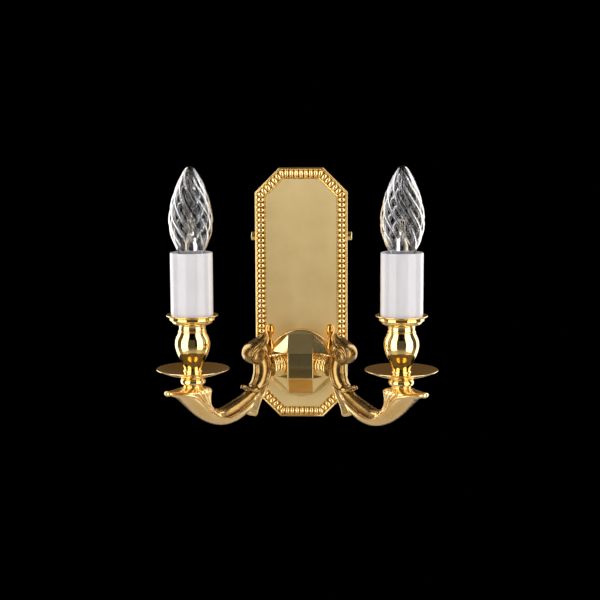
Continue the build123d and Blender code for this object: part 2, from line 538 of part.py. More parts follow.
for name, side in (("left", -1), ("right", 1)):
    plane = arm_plane(side)
    boss_axis = Axis(plane.origin, plane.x_dir)
    foot = plane.from_local_coords((ARM_REACH, 0, 0))
    candle_axis = Axis(foot, (0, 0, 1))
    candle_plane = Plane(origin=foot, x_dir=(1, 0, 0), z_dir=(0, -1, 0))

    with BuildPart() as collar:
        with BuildSketch(plane):
            with BuildLine():
                ring = COLLAR_LENGTH / COLLAR_RINGS
                for i in range(COLLAR_RINGS):
                    u = BOSS_APOTHEM + i * ring
                    ThreePointArc((u, COLLAR_GROOVE_RADIUS), (u + ring / 2, COLLAR_RADIUS),
                                  (u + ring, COLLAR_GROOVE_RADIUS))
                Polyline((COLLAR_END, COLLAR_GROOVE_RADIUS), (COLLAR_END, THREADED_HOLE),
                         (BOSS_APOTHEM, THREADED_HOLE), (BOSS_APOTHEM, COLLAR_GROOVE_RADIUS))
            make_face()
        revolve(axis=boss_axis)
    save(collar, f"collar_{name}")

    nut_place = BOSS_APOTHEM - BOSS_WALL - NUT_THICKNESS
    nipple_start = nut_place - NIPPLE_PAST_NUT
    with BuildPart() as arm_nipple:
        with BuildSketch(across(plane, nipple_start, 0)):
            Circle(TUBE_RADIUS)
            Circle(TUBE_BORE / 2, mode=Mode.SUBTRACT)
        extrude(amount=COLLAR_END + NIPPLE_GRIP - nipple_start)
    save(arm_nipple, f"arm_nipple_{name}")

    with BuildPart() as arm_locknut:
        with BuildSketch(across(plane, nut_place, 0)):
            RegularPolygon(NUT_WIDTH / 2, 6, major_radius=False)
            Circle(THREADED_HOLE, mode=Mode.SUBTRACT)
        extrude(amount=NUT_THICKNESS)
    save(arm_locknut, f"arm_locknut_{name}")

    curl = (KNOB_PLACE[0] - CUFF_PLACE[0], KNOB_PLACE[1] - CUFF_PLACE[1])
    with BuildPart() as arm:
        with BuildSketch(plane):
            with BuildLine():
                Polyline(*[(ARM_DROP_U + u, z) for u, z in SCROLL_BACK], close=True)
            make_face()
            with Locations(SCROLL_EYE):
                Circle(SCROLL_RADIUS)
        extrude(amount=SCROLL_HALF_WIDTH, both=True)
        with BuildSketch(plane):
            with BuildLine():
                Polyline(*[(ARM_DROP_U + u, z) for u, z in TAIL_OUTLINE], close=True)
            make_face()
        extrude(amount=TAIL_HALF_WIDTH, both=True)
        with BuildLine(plane) as tube_line:
            FilletPolyline(*TUBE_ROUTE, radius=TUBE_BENDS)
        with BuildSketch(Plane(origin=tube_line.line @ 0, z_dir=tube_line.line % 0)):
            Circle(ARM_TUBE_RADIUS)
        sweep(path=tube_line.line)
        with BuildSketch(across(plane, COLLAR_END, 0)):
            Circle(ARM_STUB_RADIUS)
        extrude(amount=ARM_DROP_U - COLLAR_END)
        for (low_u, low_z), (high_u, high_z), half_width in LEAF_SECTIONS:
            rise_u, rise_z = high_u - low_u, high_z - low_z
            section = across(plane, ARM_REACH + (low_u + high_u) / 2, (low_z + high_z) / 2, rise_z,
                             -rise_u)
            with BuildSketch(section):
                Ellipse(hypot(rise_u, rise_z) / 2, half_width)
        loft()
        for height, middle, half_length, half_width in THROAT_SECTIONS:
            with BuildSketch(across(plane, ARM_REACH + middle, height, 0, 1)):
                Ellipse(half_length, half_width)
        loft()
        with Locations(across(plane, *TIP_PLACE)):
            Sphere(TIP_RADIUS)
        with Locations(across(plane, *CUFF_PLACE, 0.64, -0.77)):
            Torus(ARM_TUBE_RADIUS, CUFF_RADIUS)
        with BuildSketch(across(plane, *CUFF_PLACE, *curl)):
            Circle(KNOB_NECK_RADIUS)
        extrude(amount=hypot(*curl))
        with Locations(across(plane, *KNOB_PLACE)):
            Sphere(KNOB_RADIUS)
        with BuildSketch(plane):
            with BuildLine():
                bud_u, bud_z = BUD_PLACE
                Spline((bud_u, bud_z + BUD_HEIGHT / 2), (bud_u + BUD_RADIUS, bud_z + BUD_SHOULDER),
                       (bud_u + BUD_RADIUS / 3, bud_z - BUD_HEIGHT),
                       tangents=[(1, 0), (0, -1)])
                Polyline((bud_u + BUD_RADIUS / 3, bud_z - BUD_HEIGHT), (bud_u, bud_z - BUD_HEIGHT),
                         (bud_u, bud_z + BUD_HEIGHT / 2))
            make_face()
        revolve(axis=Axis(plane.from_local_coords((bud_u, 0, 0)), (0, 0, 1)))
        with BuildLine() as bore_line:
            wire_line(side, False)
        with BuildSketch(Plane(origin=bore_line.line @ 0, z_dir=bore_line.line % 0)):
            Circle(WIRE_BORE / 2)
        sweep(path=bore_line.line, mode=Mode.SUBTRACT)
        with BuildSketch(across(plane, COLLAR_END, 0)):
            Circle(THREADED_HOLE)
        extrude(amount=NIPPLE_GRIP, mode=Mode.SUBTRACT)
        with BuildSketch(across(plane, ARM_REACH, ARM_TOP, 0, -1)):
            Circle(THREADED_HOLE)
        extrude(amount=STEM_GRIP, mode=Mode.SUBTRACT)
    save(arm, f"arm_{name}")

    with BuildPart() as arm_wire:
        with BuildLine() as lead_line:
            wire_line(side, True)
        with BuildSketch(Plane(origin=lead_line.line @ 0, z_dir=lead_line.line % 0)):
            Circle(WIRE_DIAMETER / 2)
        sweep(path=lead_line.line)
    save(arm_wire, f"arm_wire_{name}")

    with BuildPart() as stem_tube:
        with BuildSketch(across(plane, ARM_REACH, ARM_TOP - STEM_GRIP, 0, 1)):
            Circle(TUBE_RADIUS)
            Circle(TUBE_BORE / 2, mode=Mode.SUBTRACT)
        extrude(amount=STEM_TOP - ARM_TOP + STEM_GRIP)
    save(stem_tube, f"stem_tube_{name}")

    # ------------------------------------------------------------ turned brass
    with BuildPart() as seat_ring:
        with BuildSketch(candle_plane):
            with BuildLine():
                Polyline((SEAT_RING_END_RADIUS, ARM_TOP), (THREADED_HOLE, ARM_TOP),
                         (THREADED_HOLE, PAN_BOTTOM), (SEAT_RING_END_RADIUS, PAN_BOTTOM))
                ThreePointArc((SEAT_RING_END_RADIUS, PAN_BOTTOM),
                              (SEAT_RING_RADIUS, (ARM_TOP + PAN_BOTTOM) / 2),
                              (SEAT_RING_END_RADIUS, ARM_TOP))
            make_face()
        revolve(axis=candle_axis)
    save(seat_ring, f"seat_ring_{name}")

    with BuildPart() as drip_pan:
        with BuildSketch(candle_plane):
            with BuildLine():
                under_rim = (PAN_RADIUS, PAN_BOTTOM + PAN_RIM_HEIGHT - PAN_EDGE)
                top_rim = (PAN_RADIUS - PAN_EDGE / 2, PAN_BOTTOM + PAN_RIM_HEIGHT)
                floor_edge = (PAN_HUB_RADIUS + PAN_FLOOR_EDGE, VASE_BOTTOM)
                hub_edge = (PAN_HUB_RADIUS + PAN_HUB_EDGE, PAN_BOTTOM + PAN_HUB_HEIGHT)
                under_bend, top_bend = [(r, PAN_BOTTOM + h)
                                        for r, h in (PAN_UNDERSIDE_BEND, PAN_TOPSIDE_BEND)]
                ThreePointArc(hub_edge, under_bend, under_rim)
                Line(under_rim, top_rim)
                ThreePointArc(top_rim, top_bend, floor_edge)
                Polyline(floor_edge, (THREADED_HOLE, VASE_BOTTOM), (THREADED_HOLE, PAN_BOTTOM),
                         (PAN_HUB_RADIUS, PAN_BOTTOM), hub_edge)
            make_face()
        revolve(axis=candle_axis)
    save(drip_pan, f"drip_pan_{name}")

    with BuildPart() as vase:
        with BuildSketch(candle_plane):
            with BuildLine():
                body = [(r, VASE_BOTTOM + h) for r, h in VASE_BODY]
                neck_radius, neck_height = body[-1]
                collar_top = neck_height + VASE_COLLAR_HEIGHT
                foot_top = (VASE_FOOT_RADIUS, VASE_BOTTOM + VASE_FOOT_HEIGHT)
                Polyline((THREADED_HOLE, VASE_BOTTOM), (VASE_FOOT_RADIUS, VASE_BOTTOM), foot_top)
                bead_middle = (VASE_FOOT_RADIUS + VASE_BEAD_PROUD, VASE_BOTTOM + VASE_BEAD_HEIGHT)
                ThreePointArc(foot_top, bead_middle, body[0])
                Spline(*body)
                ThreePointArc(body[-1], (neck_radius + VASE_COLLAR_PROUD,
                                         neck_height + VASE_COLLAR_HEIGHT / 2),
                              (neck_radius, collar_top))
                Polyline((neck_radius, collar_top), (neck_radius, CUP_BOTTOM),
                         (THREADED_HOLE, CUP_BOTTOM), (THREADED_HOLE, VASE_BOTTOM))
            make_face()
        revolve(axis=candle_axis)
    save(vase, f"vase_{name}")

    with BuildPart() as candle_cup:
        with BuildSketch(candle_plane):
            with BuildLine():
                cup_top = CUP_BOTTOM + CUP_HEIGHT
                belly = (CUP_FLOOR_RADIUS + CUP_BELLY_PROUD, cup_top - CUP_BELLY_BELOW_LIP)
                lip_under = (CUP_RADIUS, cup_top - CUP_LIP_EDGE)
                lip_top = (CUP_RADIUS - CUP_LIP_TOP, cup_top)
                bowl_bend, lip_bend = [(r, CUP_BOTTOM + h) for r, h in (CUP_BOWL_BEND, CUP_LIP_BEND)]
                ThreePointArc((CUP_BASE_RADIUS, CUP_BOTTOM), bowl_bend, belly)
                ThreePointArc(belly, lip_bend, lip_under)
                Polyline(lip_under, lip_top, (CUP_FLOOR_RADIUS, CANDLE_BOTTOM),
                         (THREADED_HOLE, CANDLE_BOTTOM), (THREADED_HOLE, CUP_BOTTOM),
                         (CUP_BASE_RADIUS, CUP_BOTTOM))
            make_face()
        revolve(axis=candle_axis)
    save(candle_cup, f"candle_cup_{name}")

    # ------------------------------------------------------------ lampholder and sleeve
    with BuildPart() as lampholder_body:
        with BuildSketch(candle_plane):
            with BuildLine():
                shoulder = CANDLE_BOTTOM + HOLDER_SEAT - HOLDER_FLOOR
                cavity = SHELL_RADIUS + THREAD_CLEARANCE
                Polyline((THREADED_HOLE, CANDLE_BOTTOM), (HOLDER_BASE_RADIUS, CANDLE_BOTTOM),
                         (HOLDER_BASE_RADIUS, shoulder), (HOLDER_RADIUS, STEM_TOP),
                         (HOLDER_RADIUS, SHELL_TOP + HOLDER_LIP),
                         (cavity, SHELL_TOP + HOLDER_LIP), (cavity, HOLDER_CAVITY),
                         (WIRE_BORE / 2, HOLDER_CAVITY), (WIRE_BORE / 2, STEM_TOP),
                         (THREADED_HOLE, STEM_TOP), close=True)
            make_face()
        revolve(axis=candle_axis)
    save(lampholder_body, f"lampholder_body_{name}")

    with BuildPart() as lampholder_shell:
        with BuildSketch(across(plane, ARM_REACH, HOLDER_CAVITY, 0, 1)):
            Circle(SHELL_RADIUS)
            Circle(SHELL_RADIUS - SHELL_WALL, mode=Mode.SUBTRACT)
        extrude(amount=SHELL_LENGTH)
    save(lampholder_shell, f"lampholder_shell_{name}")

    with BuildPart() as lampholder_contact:
        with BuildSketch(across(plane, ARM_REACH, HOLDER_CAVITY, 0, 1)):
            Circle(CONTACT_RADIUS)
        extrude(amount=CONTACT_HEIGHT)
        fillet(lampholder_contact.faces().sort_by(Axis.Z)[-1].edges(), FIELD_ROUND)
    save(lampholder_contact, f"lampholder_contact_{name}")

    with BuildPart() as candle_sleeve:
        with BuildSketch(across(plane, ARM_REACH, CANDLE_BOTTOM, 0, 1)):
            Circle(SLEEVE_DIAMETER / 2)
            Circle(SLEEVE_DIAMETER / 2 - SLEEVE_WALL, mode=Mode.SUBTRACT)
        extrude(amount=SLEEVE_HEIGHT)
        fillet(candle_sleeve.faces().sort_by(Axis.Z)[-1].edges(), SLEEVE_ROUND)
    save(candle_sleeve, f"candle_sleeve_{name}")

    # ------------------------------------------------------------ bulb
    with BuildPart() as bulb_contact:
        with BuildSketch(across(plane, ARM_REACH, BULB_BOTTOM, 0, 1)):
            Circle(BULB_CONTACT_RADIUS)
        extrude(amount=BULB_CONTACT_HEIGHT)
    save(bulb_contact, f"bulb_contact_{name}")

    with BuildPart() as bulb_insulator:
        with BuildSketch(candle_plane):
            with BuildLine():
                Polyline((0, INSULATOR_BOTTOM), (INSULATOR_RADIUS, INSULATOR_BOTTOM),
                         (CAP_RADIUS - CAP_WALL, CAP_BOTTOM), (0, CAP_BOTTOM), close=True)
            make_face()
        revolve(axis=candle_axis)
    save(bulb_insulator, f"bulb_insulator_{name}")

    with BuildPart() as bulb_cap:
        with BuildSketch(candle_plane):
            with BuildLine():
                Polyline((0, CAP_BOTTOM), (CAP_RADIUS - CAP_WALL, CAP_BOTTOM),
                         (CAP_RADIUS, CAP_BOTTOM + 2 * CAP_WALL), (CAP_RADIUS, CAP_TOP),
                         (CAP_RADIUS - CAP_WALL, CAP_TOP),
                         (CAP_RADIUS - CAP_WALL, CAP_BOTTOM + CAP_WALL), (0, CAP_BOTTOM + CAP_WALL),
                         close=True)
            make_face()
        revolve(axis=candle_axis)
    save(bulb_cap, f"bulb_cap_{name}")

    with BuildPart() as bulb_glass:
        for wall, mode in ((0.0, Mode.ADD), (GLASS_WALL, Mode.SUBTRACT)):
            with BuildSketch(candle_plane):
                with BuildLine():
                    neck_low = (NECK_RADIUS - wall, CAP_TOP - GLASS_IN_CAP)
                    neck_high = (NECK_RADIUS - wall, CAP_TOP)
                    tip = (0, CAP_TOP + GLASS_HEIGHT - wall)
                    side_points = [(r - wall, CAP_TOP + h) for r, h in BULB_PROFILE]
                    Polyline(tip, (0, neck_low[1]), neck_low, neck_high)
                    Spline(neck_high, *side_points, tip)
                make_face()
            revolve(axis=candle_axis, mode=mode)
    save(bulb_glass, f"bulb_glass_{name}")

    with BuildPart() as bulb_stem:
        with BuildSketch(candle_plane):
            with BuildLine():
                flare = (NECK_RADIUS - GLASS_WALL - THREAD_CLEARANCE, CAP_TOP - GLASS_IN_CAP)
                waist = (MOUNT_RADIUS, CAP_TOP + MOUNT_SHOULDER)
                shoulder_point = (MOUNT_RADIUS, MOUNT_TOP - MOUNT_SHOULDER)
                Polyline((MOUNT_TOP_RADIUS, MOUNT_TOP), (0, MOUNT_TOP), (0, flare[1]), flare)
                Line(flare, waist)
                Line(waist, shoulder_point)
                Spline(shoulder_point, (MOUNT_TOP_RADIUS + MOUNT_NECK_SWELL, MOUNT_TOP - MOUNT_NECK),
                       (MOUNT_TOP_RADIUS, MOUNT_TOP), tangents=[(0, 1), (0, 1)])
            make_face()
        revolve(axis=candle_axis)
    save(bulb_stem, f"bulb_stem_{name}")

    lead_plane = Plane(origin=foot + (0, 0, MOUNT_TOP), x_dir=(1, 0, 0), z_dir=(0, 0, 1))
    with BuildPart() as bulb_leads:
        with BuildSketch(lead_plane):
            with GridLocations(2 * LEAD_SPREAD, 0, 2, 1):
                Circle(LEAD_RADIUS)
        extrude(amount=LEAD_HEIGHT)
        with BuildSketch(lead_plane):
            with Locations((0, SUPPORT_BEHIND)):
                Circle(LEAD_RADIUS)
        extrude(amount=SUPPORT_HEIGHT)
    save(bulb_leads, f"bulb_leads_{name}")

    with BuildPart() as bulb_filament:
        with BuildSketch(Plane(origin=foot + (0, 0, MOUNT_TOP + LEAD_HEIGHT + FILAMENT_RADIUS),
                               x_dir=(0, 1, 0), z_dir=(1, 0, 0))):
            Circle(FILAMENT_RADIUS)
        extrude(amount=FILAMENT_LENGTH / 2, both=True)
    save(bulb_filament, f"bulb_filament_{name}")
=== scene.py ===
"""Double arm wall sconce: the looks of a brass wall light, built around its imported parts.

Lengths are in metres and the wall is the plane y = 0. A point of an arm is given as (u, z, s) in
millimetres: u outwards from the boss, z up, and s across the arm towards the room's middle.
"""

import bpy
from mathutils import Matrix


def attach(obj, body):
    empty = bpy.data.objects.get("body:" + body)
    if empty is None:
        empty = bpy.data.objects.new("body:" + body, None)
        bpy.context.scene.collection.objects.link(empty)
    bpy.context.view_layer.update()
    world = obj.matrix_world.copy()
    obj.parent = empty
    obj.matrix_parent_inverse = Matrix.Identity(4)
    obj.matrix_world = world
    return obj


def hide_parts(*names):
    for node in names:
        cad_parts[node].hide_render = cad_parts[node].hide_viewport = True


bl_info = {
    "name": "Double Arm Wall Sconce",
    "version": (1, 0, 0),
    "blender": (4, 5, 0),
    "location": "View3D > Sidebar > Sconce",
    "description": "Builds the finished surfaces of a brass wall light with two candle arms",
    "category": "Object",
}

from contextlib import contextmanager
from math import cos, hypot, pi, radians, sin, sqrt, tan

import bmesh
import bpy
import numpy as np
from bpy.props import FloatProperty, FloatVectorProperty, IntProperty, PointerProperty
from mathutils import Matrix, Vector

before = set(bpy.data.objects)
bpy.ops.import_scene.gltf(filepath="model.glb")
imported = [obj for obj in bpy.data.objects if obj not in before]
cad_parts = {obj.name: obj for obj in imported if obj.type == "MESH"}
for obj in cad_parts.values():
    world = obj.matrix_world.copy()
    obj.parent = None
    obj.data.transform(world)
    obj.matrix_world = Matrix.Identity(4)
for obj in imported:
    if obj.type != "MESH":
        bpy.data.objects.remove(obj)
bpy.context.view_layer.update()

MM = 0.001
SIDES = (("left", -1), ("right", 1))
FACE_DEPTH = 20.0  # from the wall to the cover's field
BOSS_HEIGHT = -57.5
ARM_ANGLE = radians(45)
ARM_REACH = 114.6  # from the cover's field to the candle's axis, along the arm


# ------------------------------------------------------------------ colours and places
def hex_colour(text):
    """Linear RGBA from an sRGB hex colour."""
    channels = [int(text[i:i + 2], 16) / 255 for i in (1, 3, 5)]
    linear = [c / 12.92 if c <= 0.04045 else ((c + 0.055) / 1.055) ** 2.4 for c in channels]
    return (*linear, 1.0)


def arm_directions(side):
    """Outwards along the arm, and across it towards the middle of the room."""
    outwards = Vector((side * sin(ARM_ANGLE), -cos(ARM_ANGLE), 0))
    across = Vector((-side * cos(ARM_ANGLE), -sin(ARM_ANGLE), 0))
    return outwards, across


def arm_point(side, u, z, s=0.0):
    """A point of an arm, from millimetres in its own directions to metres in the room."""
    outwards, across = arm_directions(side)
    return (Vector((0, -FACE_DEPTH * MM, 0)) + outwards * (u * MM) + across * (s * MM)
            + Vector((0, 0, z * MM)))


def candle_foot(side):
    """The point where the candle's axis passes through the level plane z = 0."""
    return arm_point(side, ARM_REACH, 0)


# ------------------------------------------------------------------ mesh helpers
def add_object(name, data):
    thing = bpy.data.objects.new(name, data)
    bpy.context.scene.collection.objects.link(thing)
    return thing


def mesh_from(name, points, faces):
    mesh = bpy.data.meshes.new(name)
    mesh.from_pydata([tuple(p) for p in points], [], faces)
    return mesh


@contextmanager
def editing(mesh):
    """A mesh as a bmesh, written back at the end."""
    bm = bmesh.new()
    bm.from_mesh(mesh)
    yield bm
    bm.to_mesh(mesh)
    bm.free()


def tidy_mesh(mesh, sharp_degrees=32.0, weld=1e-6):
    """Merges doubles, turns the faces outwards and sets smooth shading with sharp edges."""
    with editing(mesh) as bm:
        bmesh.ops.remove_doubles(bm, verts=bm.verts, dist=weld)
        bmesh.ops.recalc_face_normals(bm, faces=bm.faces)
    mesh.shade_smooth()
    mesh.set_sharp_from_angle(angle=radians(sharp_degrees))
    mesh.update()


def join_meshes(name, meshes):
    """One mesh that holds several, as loose parts."""
    bm = bmesh.new()
    for mesh in meshes:
        bm.from_mesh(mesh)
    joined = bpy.data.meshes.new(name)
    bm.to_mesh(joined)
    bm.free()
    return joined


def spline(rows, steps):
    """A smooth line through rows of numbers; the first and the last row only steer its ends."""
    result = []
    for p0, p1, p2, p3 in zip(rows, rows[1:], rows[2:], rows[3:]):
        for t in (k / steps for k in range(steps)):
            result.append(0.5 * (2 * p1 + (p2 - p0) * t + (2 * p0 - 5 * p1 + 4 * p2 - p3) * t * t
                                 + (3 * p1 - p0 - 3 * p2 + p3) * t ** 3))
    result.append(rows[-2])
    return np.array(result)


def smooth_line(points, steps=6):
    """Extra stations on a smooth line through rows of numbers, straight on at its ends."""
    rows = np.array(points, float)
    return spline(np.vstack([2 * rows[0] - rows[1], rows, 2 * rows[-1] - rows[-2]]), steps)


def rounded_profile(points, steps):
    """A smooth line through a profile's points; a point given twice stays a corner."""
    runs = [[points[0]]]
    for previous, point in zip(points, points[1:]):
        if point == previous:
            runs.append([point])
        else:
            runs[-1].append(point)
    result = []
    for run in runs:
        if len(run) > 2:
            run = [tuple(p) for p in spline(np.array([run[0], *run, run[-1]], float), steps)]
        result += run
    return result[:1] + [p for last, p in zip(result, result[1:])
                         if hypot(p[0] - last[0], p[1] - last[1]) > 1e-6]


def lathe_mesh(name, profile, foot, axis=(0, 0, 1), segments=128, closed=True):
    """Turns a profile of (radius, height) in millimetres about an axis through the foot."""
    axis = Vector(axis).normalized()
    first = axis.orthogonal().normalized()
    second = axis.cross(first)
    points, rings = [], []
    for radius, height in profile:
        centre = Vector(foot) + axis * (height * MM)
        count = segments if radius > 1e-6 else 1
        rings.append(range(len(points), len(points) + count))
        points += [centre + (first * cos(turn) + second * sin(turn)) * (radius * MM)
                   for turn in (2 * pi * i / segments for i in range(count))]
    pairs = list(zip(rings, rings[1:]))
    if closed and len(rings[0]) > 1 and len(rings[-1]) > 1:
        pairs.append((rings[-1], rings[0]))
    faces = []
    for lower, upper in pairs:
        for i in range(segments):
            j = (i + 1) % segments
            face = dict.fromkeys((lower[i % len(lower)], lower[j % len(lower)],
                                  upper[j % len(upper)], upper[i % len(upper)]))
            if len(face) > 2:
                faces.append(tuple(face))
    mesh = mesh_from(name, points, faces)
    tidy_mesh(mesh)
    return mesh


def tube_mesh(name, path, radius, sides):
    """A round tube along a path, closed at both ends."""
    verts, faces = [], []
    leaning = Vector((0.31, 0.95, 0.11))  # any direction that no tube here follows
    for i, point in enumerate(path):
        ahead = (path[min(i + 1, len(path) - 1)] - path[max(i - 1, 0)]).normalized()
        first = (leaning - ahead * leaning.dot(ahead)).normalized()
        second = ahead.cross(first)
        for k in range(sides):
            turn = 2 * pi * k / sides
            verts.append(point + (first * cos(turn) + second * sin(turn)) * radius)
            if i:
                n, base, last = (k + 1) % sides, i * sides, (i - 1) * sides
                faces.append((last + k, last + n, base + n, base + k))
    faces += [tuple(reversed(range(sides))), tuple(range(len(verts) - sides, len(verts)))]
    mesh = mesh_from(name, verts, faces)
    tidy_mesh(mesh, 50.0, 1e-9)
    return mesh


def ring_skin(rings):
    """A closed skin over rings of points, with a lid at each end."""
    count = len(rings[0])
    faces = [tuple(range(count)), tuple(range((len(rings) - 1) * count, len(rings) * count))]
    for i in range(len(rings) - 1):
        for k in range(count):
            n = (k + 1) % count
            faces.append((i * count + k, i * count + n, (i + 1) * count + n, (i + 1) * count + k))
    mesh = mesh_from("skin", [p for ring in rings for p in ring], faces)
    with editing(mesh) as bm:
        bmesh.ops.recalc_face_normals(bm, faces=bm.faces)
    return mesh


def baked_mesh(piece):
    """A piece's mesh with its modifiers applied; the modifiers are removed."""
    bpy.context.view_layer.update()
    evaluated = piece.evaluated_get(bpy.context.evaluated_depsgraph_get())
    mesh = bpy.data.meshes.new_from_object(evaluated)
    piece.modifiers.clear()
    piece.data = mesh
    return mesh


def set_materials(piece, *names):
    piece.data.materials.clear()
    for name in names:
        piece.data.materials.append(MATERIALS[name])


def place(piece, body, slot, *nodes):
    """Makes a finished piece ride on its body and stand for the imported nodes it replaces."""
    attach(piece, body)
    if nodes:
        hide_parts(*nodes)


# ------------------------------------------------------------------ node helpers
def add_node(tree, kind, values=None, **settings):
    """Adds a node with its settings. An input is a plain value, a socket to link or a sum.

    A sum is a tuple of a Math operation and its values, which can be sums themselves.
    """
    node = tree.nodes.new(kind)
    for name, value in settings.items():
        setattr(node, name, value)
    for socket, value in (values or {}).items():
        if isinstance(value, tuple) and isinstance(value[0], str):
            operation, *parts = value
            value = add_node(tree, "ShaderNodeMath", dict(enumerate(parts)),
                             operation=operation).outputs[0]
        if isinstance(value, bpy.types.NodeSocket):
            tree.links.new(value, node.inputs[socket])
        elif value is not None:
            node.inputs[socket].default_value = value
    return node


def shape_tree(name, inputs):
    """A Geometry Nodes tree with named inputs; gives the tree and what it is given."""
    kinds = {"Geometry": "NodeSocketGeometry", "Finish": "NodeSocketMaterial",
             "Foot": "NodeSocketVector"}
    tree = bpy.data.node_groups.new(name, "GeometryNodeTree")
    for label in ("Geometry", *inputs, "Finish"):
        tree.interface.new_socket(name=label, in_out="INPUT",
                                  socket_type=kinds.get(label, "NodeSocketFloat"))
    tree.interface.new_socket(name="Geometry", in_out="OUTPUT", socket_type=kinds["Geometry"])
    return tree, tree.nodes.new("NodeGroupInput").outputs


def end_tree(tree, geometry, given):
    """Ends a tree in Realize Instances and Set Material."""
    real = add_node(tree, "GeometryNodeRealizeInstances", {"Geometry": geometry})
    coat = add_node(tree, "GeometryNodeSetMaterial",
                    {"Geometry": real.outputs["Geometry"], "Material": given["Finish"]})
    add_node(tree, "NodeGroupOutput", {"Geometry": coat.outputs["Geometry"]})


def run_tree(piece, tree, values):
    """Puts a node tree on a piece, sets its named inputs and keeps the result as a plain mesh."""
    modifier = piece.modifiers.new("Shape", "NODES")
    modifier.node_group = tree
    for item in tree.interface.items_tree:
        if item.item_type == "SOCKET" and item.in_out == "INPUT" and item.name in values:
            modifier[item.identifier] = values[item.name]
    return baked_mesh(piece)


# ------------------------------------------------------------------ material helpers
# Noise as (waves to the metre, detail). Grain is finer on the real light. It is drawn as coarse
# as it needs to be to show at all.
METAL_DRIFT = (55.0, 4.0)      # a change of tone every 18 mm
METAL_POLISH = (420.0, 5.0)    # uneven buffing, 2.4 mm
METAL_WAVES = (160.0, 2.0)     # long low waves, 6 mm
CAST_GRAIN = (2600.0, 3.0)     # 0.4 mm
SATIN_GRAIN = (3600.0, 3.0)    # 0.3 mm
DRAWN_GRAIN = (9000.0, 3.0)    # 0.1 mm
SHADE_TONE_DRIFT = (90.0, 4.0)    # drift of the painted shade tone, 11 mm
PLASTIC_DRIFT = (40.0, 3.0)    # 25 mm
PLASTIC_POLISH = (700.0, 4.0)  # 1.4 mm
PLASTIC_GRAIN = (900.0, 3.0)   # 1.1 mm
GLASS_DRIFT = (60.0, 2.0)      # 17 mm
GLASS_POLISH = (300.0, 3.0)    # 3 mm
GLASS_WAVES = (110.0, 2.0)     # 9 mm

MATERIALS = {}


def wandering(tree, where, noise, low, high):
    """A value that wanders between two levels over the surface."""
    scale, detail = noise
    wave = add_node(tree, "ShaderNodeTexNoise", {"Vector": where, "Scale": scale, "Detail": detail})
    return add_node(tree, "ShaderNodeMapRange", {
        "Value": wave.outputs["Fac"], "From Min": 0.3, "From Max": 0.7,
        "To Min": low, "To Max": high}).outputs["Result"]


def drifting(tree, where, noise, colour, worn):
    """A colour that drifts between two tones over the surface."""
    return add_node(tree, "ShaderNodeMix", {
        0: wandering(tree, where, noise, 0.0, 1.0), 6: hex_colour(colour), 7: hex_colour(worn)},
        data_type="RGBA").outputs[2]


def surface(name, tones, drift, roughness, polish, relief, **sockets):
    """A material with drifting tones, uneven polish and layers of (noise, strength, depth)."""
    MATERIALS[name] = bpy.data.materials.new(name)
    MATERIALS[name].use_nodes = True
    tree = MATERIALS[name].node_tree
    tree.nodes.clear()
    where = add_node(tree, "ShaderNodeTexCoord").outputs["Object"]
    normal = None
    for (scale, detail), strength, depth in relief:
        wave = add_node(tree, "ShaderNodeTexNoise",
                        {"Vector": where, "Scale": scale, "Detail": detail})
        normal = add_node(tree, "ShaderNodeBump", {
            "Strength": strength, "Distance": depth, "Height": wave.outputs["Fac"],
            "Normal": normal}).outputs["Normal"]
    shader = add_node(tree, "ShaderNodeBsdfPrincipled", {
        "Base Color": drifting(tree, where, drift, *tones),
        "Roughness": wandering(tree, where, polish, *roughness), "Normal": normal,
        **{socket.replace("_", " "): value for socket, value in sockets.items()}})
    add_node(tree, "ShaderNodeOutputMaterial", {"Surface": shader.outputs["BSDF"]})
    return tree, shader, where


def metal(name, tones, roughness, waviness, grain, grain_noise=CAST_GRAIN):
    """A metal with slow changes of tone, uneven polish, long low waves and a fine grain."""
    return surface(name, tones, METAL_DRIFT, roughness, METAL_POLISH,
                   [(METAL_WAVES, waviness, 0.0004), (grain_noise, grain, 0.00005)], Metallic=1.0)


def domed_metal(name, tones, roughness, middle, slope):
    """A softly polished metal that falls away evenly from its middle, like a spun dish."""
    tree, shader, where = surface(name, tones, METAL_DRIFT, roughness, METAL_POLISH, [],
                                  Metallic=1.0)
    away = add_node(tree, "ShaderNodeVectorMath", {0: where, 1: middle}, operation="DISTANCE")
    fall = add_node(tree, "ShaderNodeBump", {
        "Strength": 1.0, "Distance": slope, "Height": away.outputs["Value"]}, invert=True)
    tree.links.new(fall.outputs["Normal"], shader.inputs["Normal"])


def metal_with_painted_shade(name, tones, shade_tones, roughness):
    """A cast metal with painted shade: darker painted tones where the piece's attribute is 0, its
    plain tones where it is 1.
    """
    tree, shader, where = metal(name, tones, roughness, 0.05, 0.10)
    bare = add_node(tree, "ShaderNodeAttribute", attribute_name="bare")
    mixed = add_node(tree, "ShaderNodeMix", {
        0: bare.outputs["Fac"], 6: drifting(tree, where, SHADE_TONE_DRIFT, *shade_tones),
        7: shader.inputs["Base Color"].links[0].from_socket}, data_type="RGBA")
    tree.links.new(mixed.outputs[2], shader.inputs["Base Color"])


def moulded(name, tones, roughness, grain, subsurface=0.0):
    """A moulded plastic or paper with faint changes of tone and a fine surface."""
    surface(name, tones, PLASTIC_DRIFT, roughness, PLASTIC_POLISH,
            [(PLASTIC_GRAIN, grain, 0.00006)], Subsurface_Weight=subsurface,
            Subsurface_Radius=(0.004, 0.0035, 0.003))


def clear_glass(name, tint, roughness, waviness, ior):
    """Clear glass with slow waves in its surface."""
    surface(name, ("#FFFFFF", tint), GLASS_DRIFT, roughness, GLASS_POLISH,
            [(GLASS_WAVES, waviness, 0.0003)], Transmission_Weight=1.0, IOR=ior)


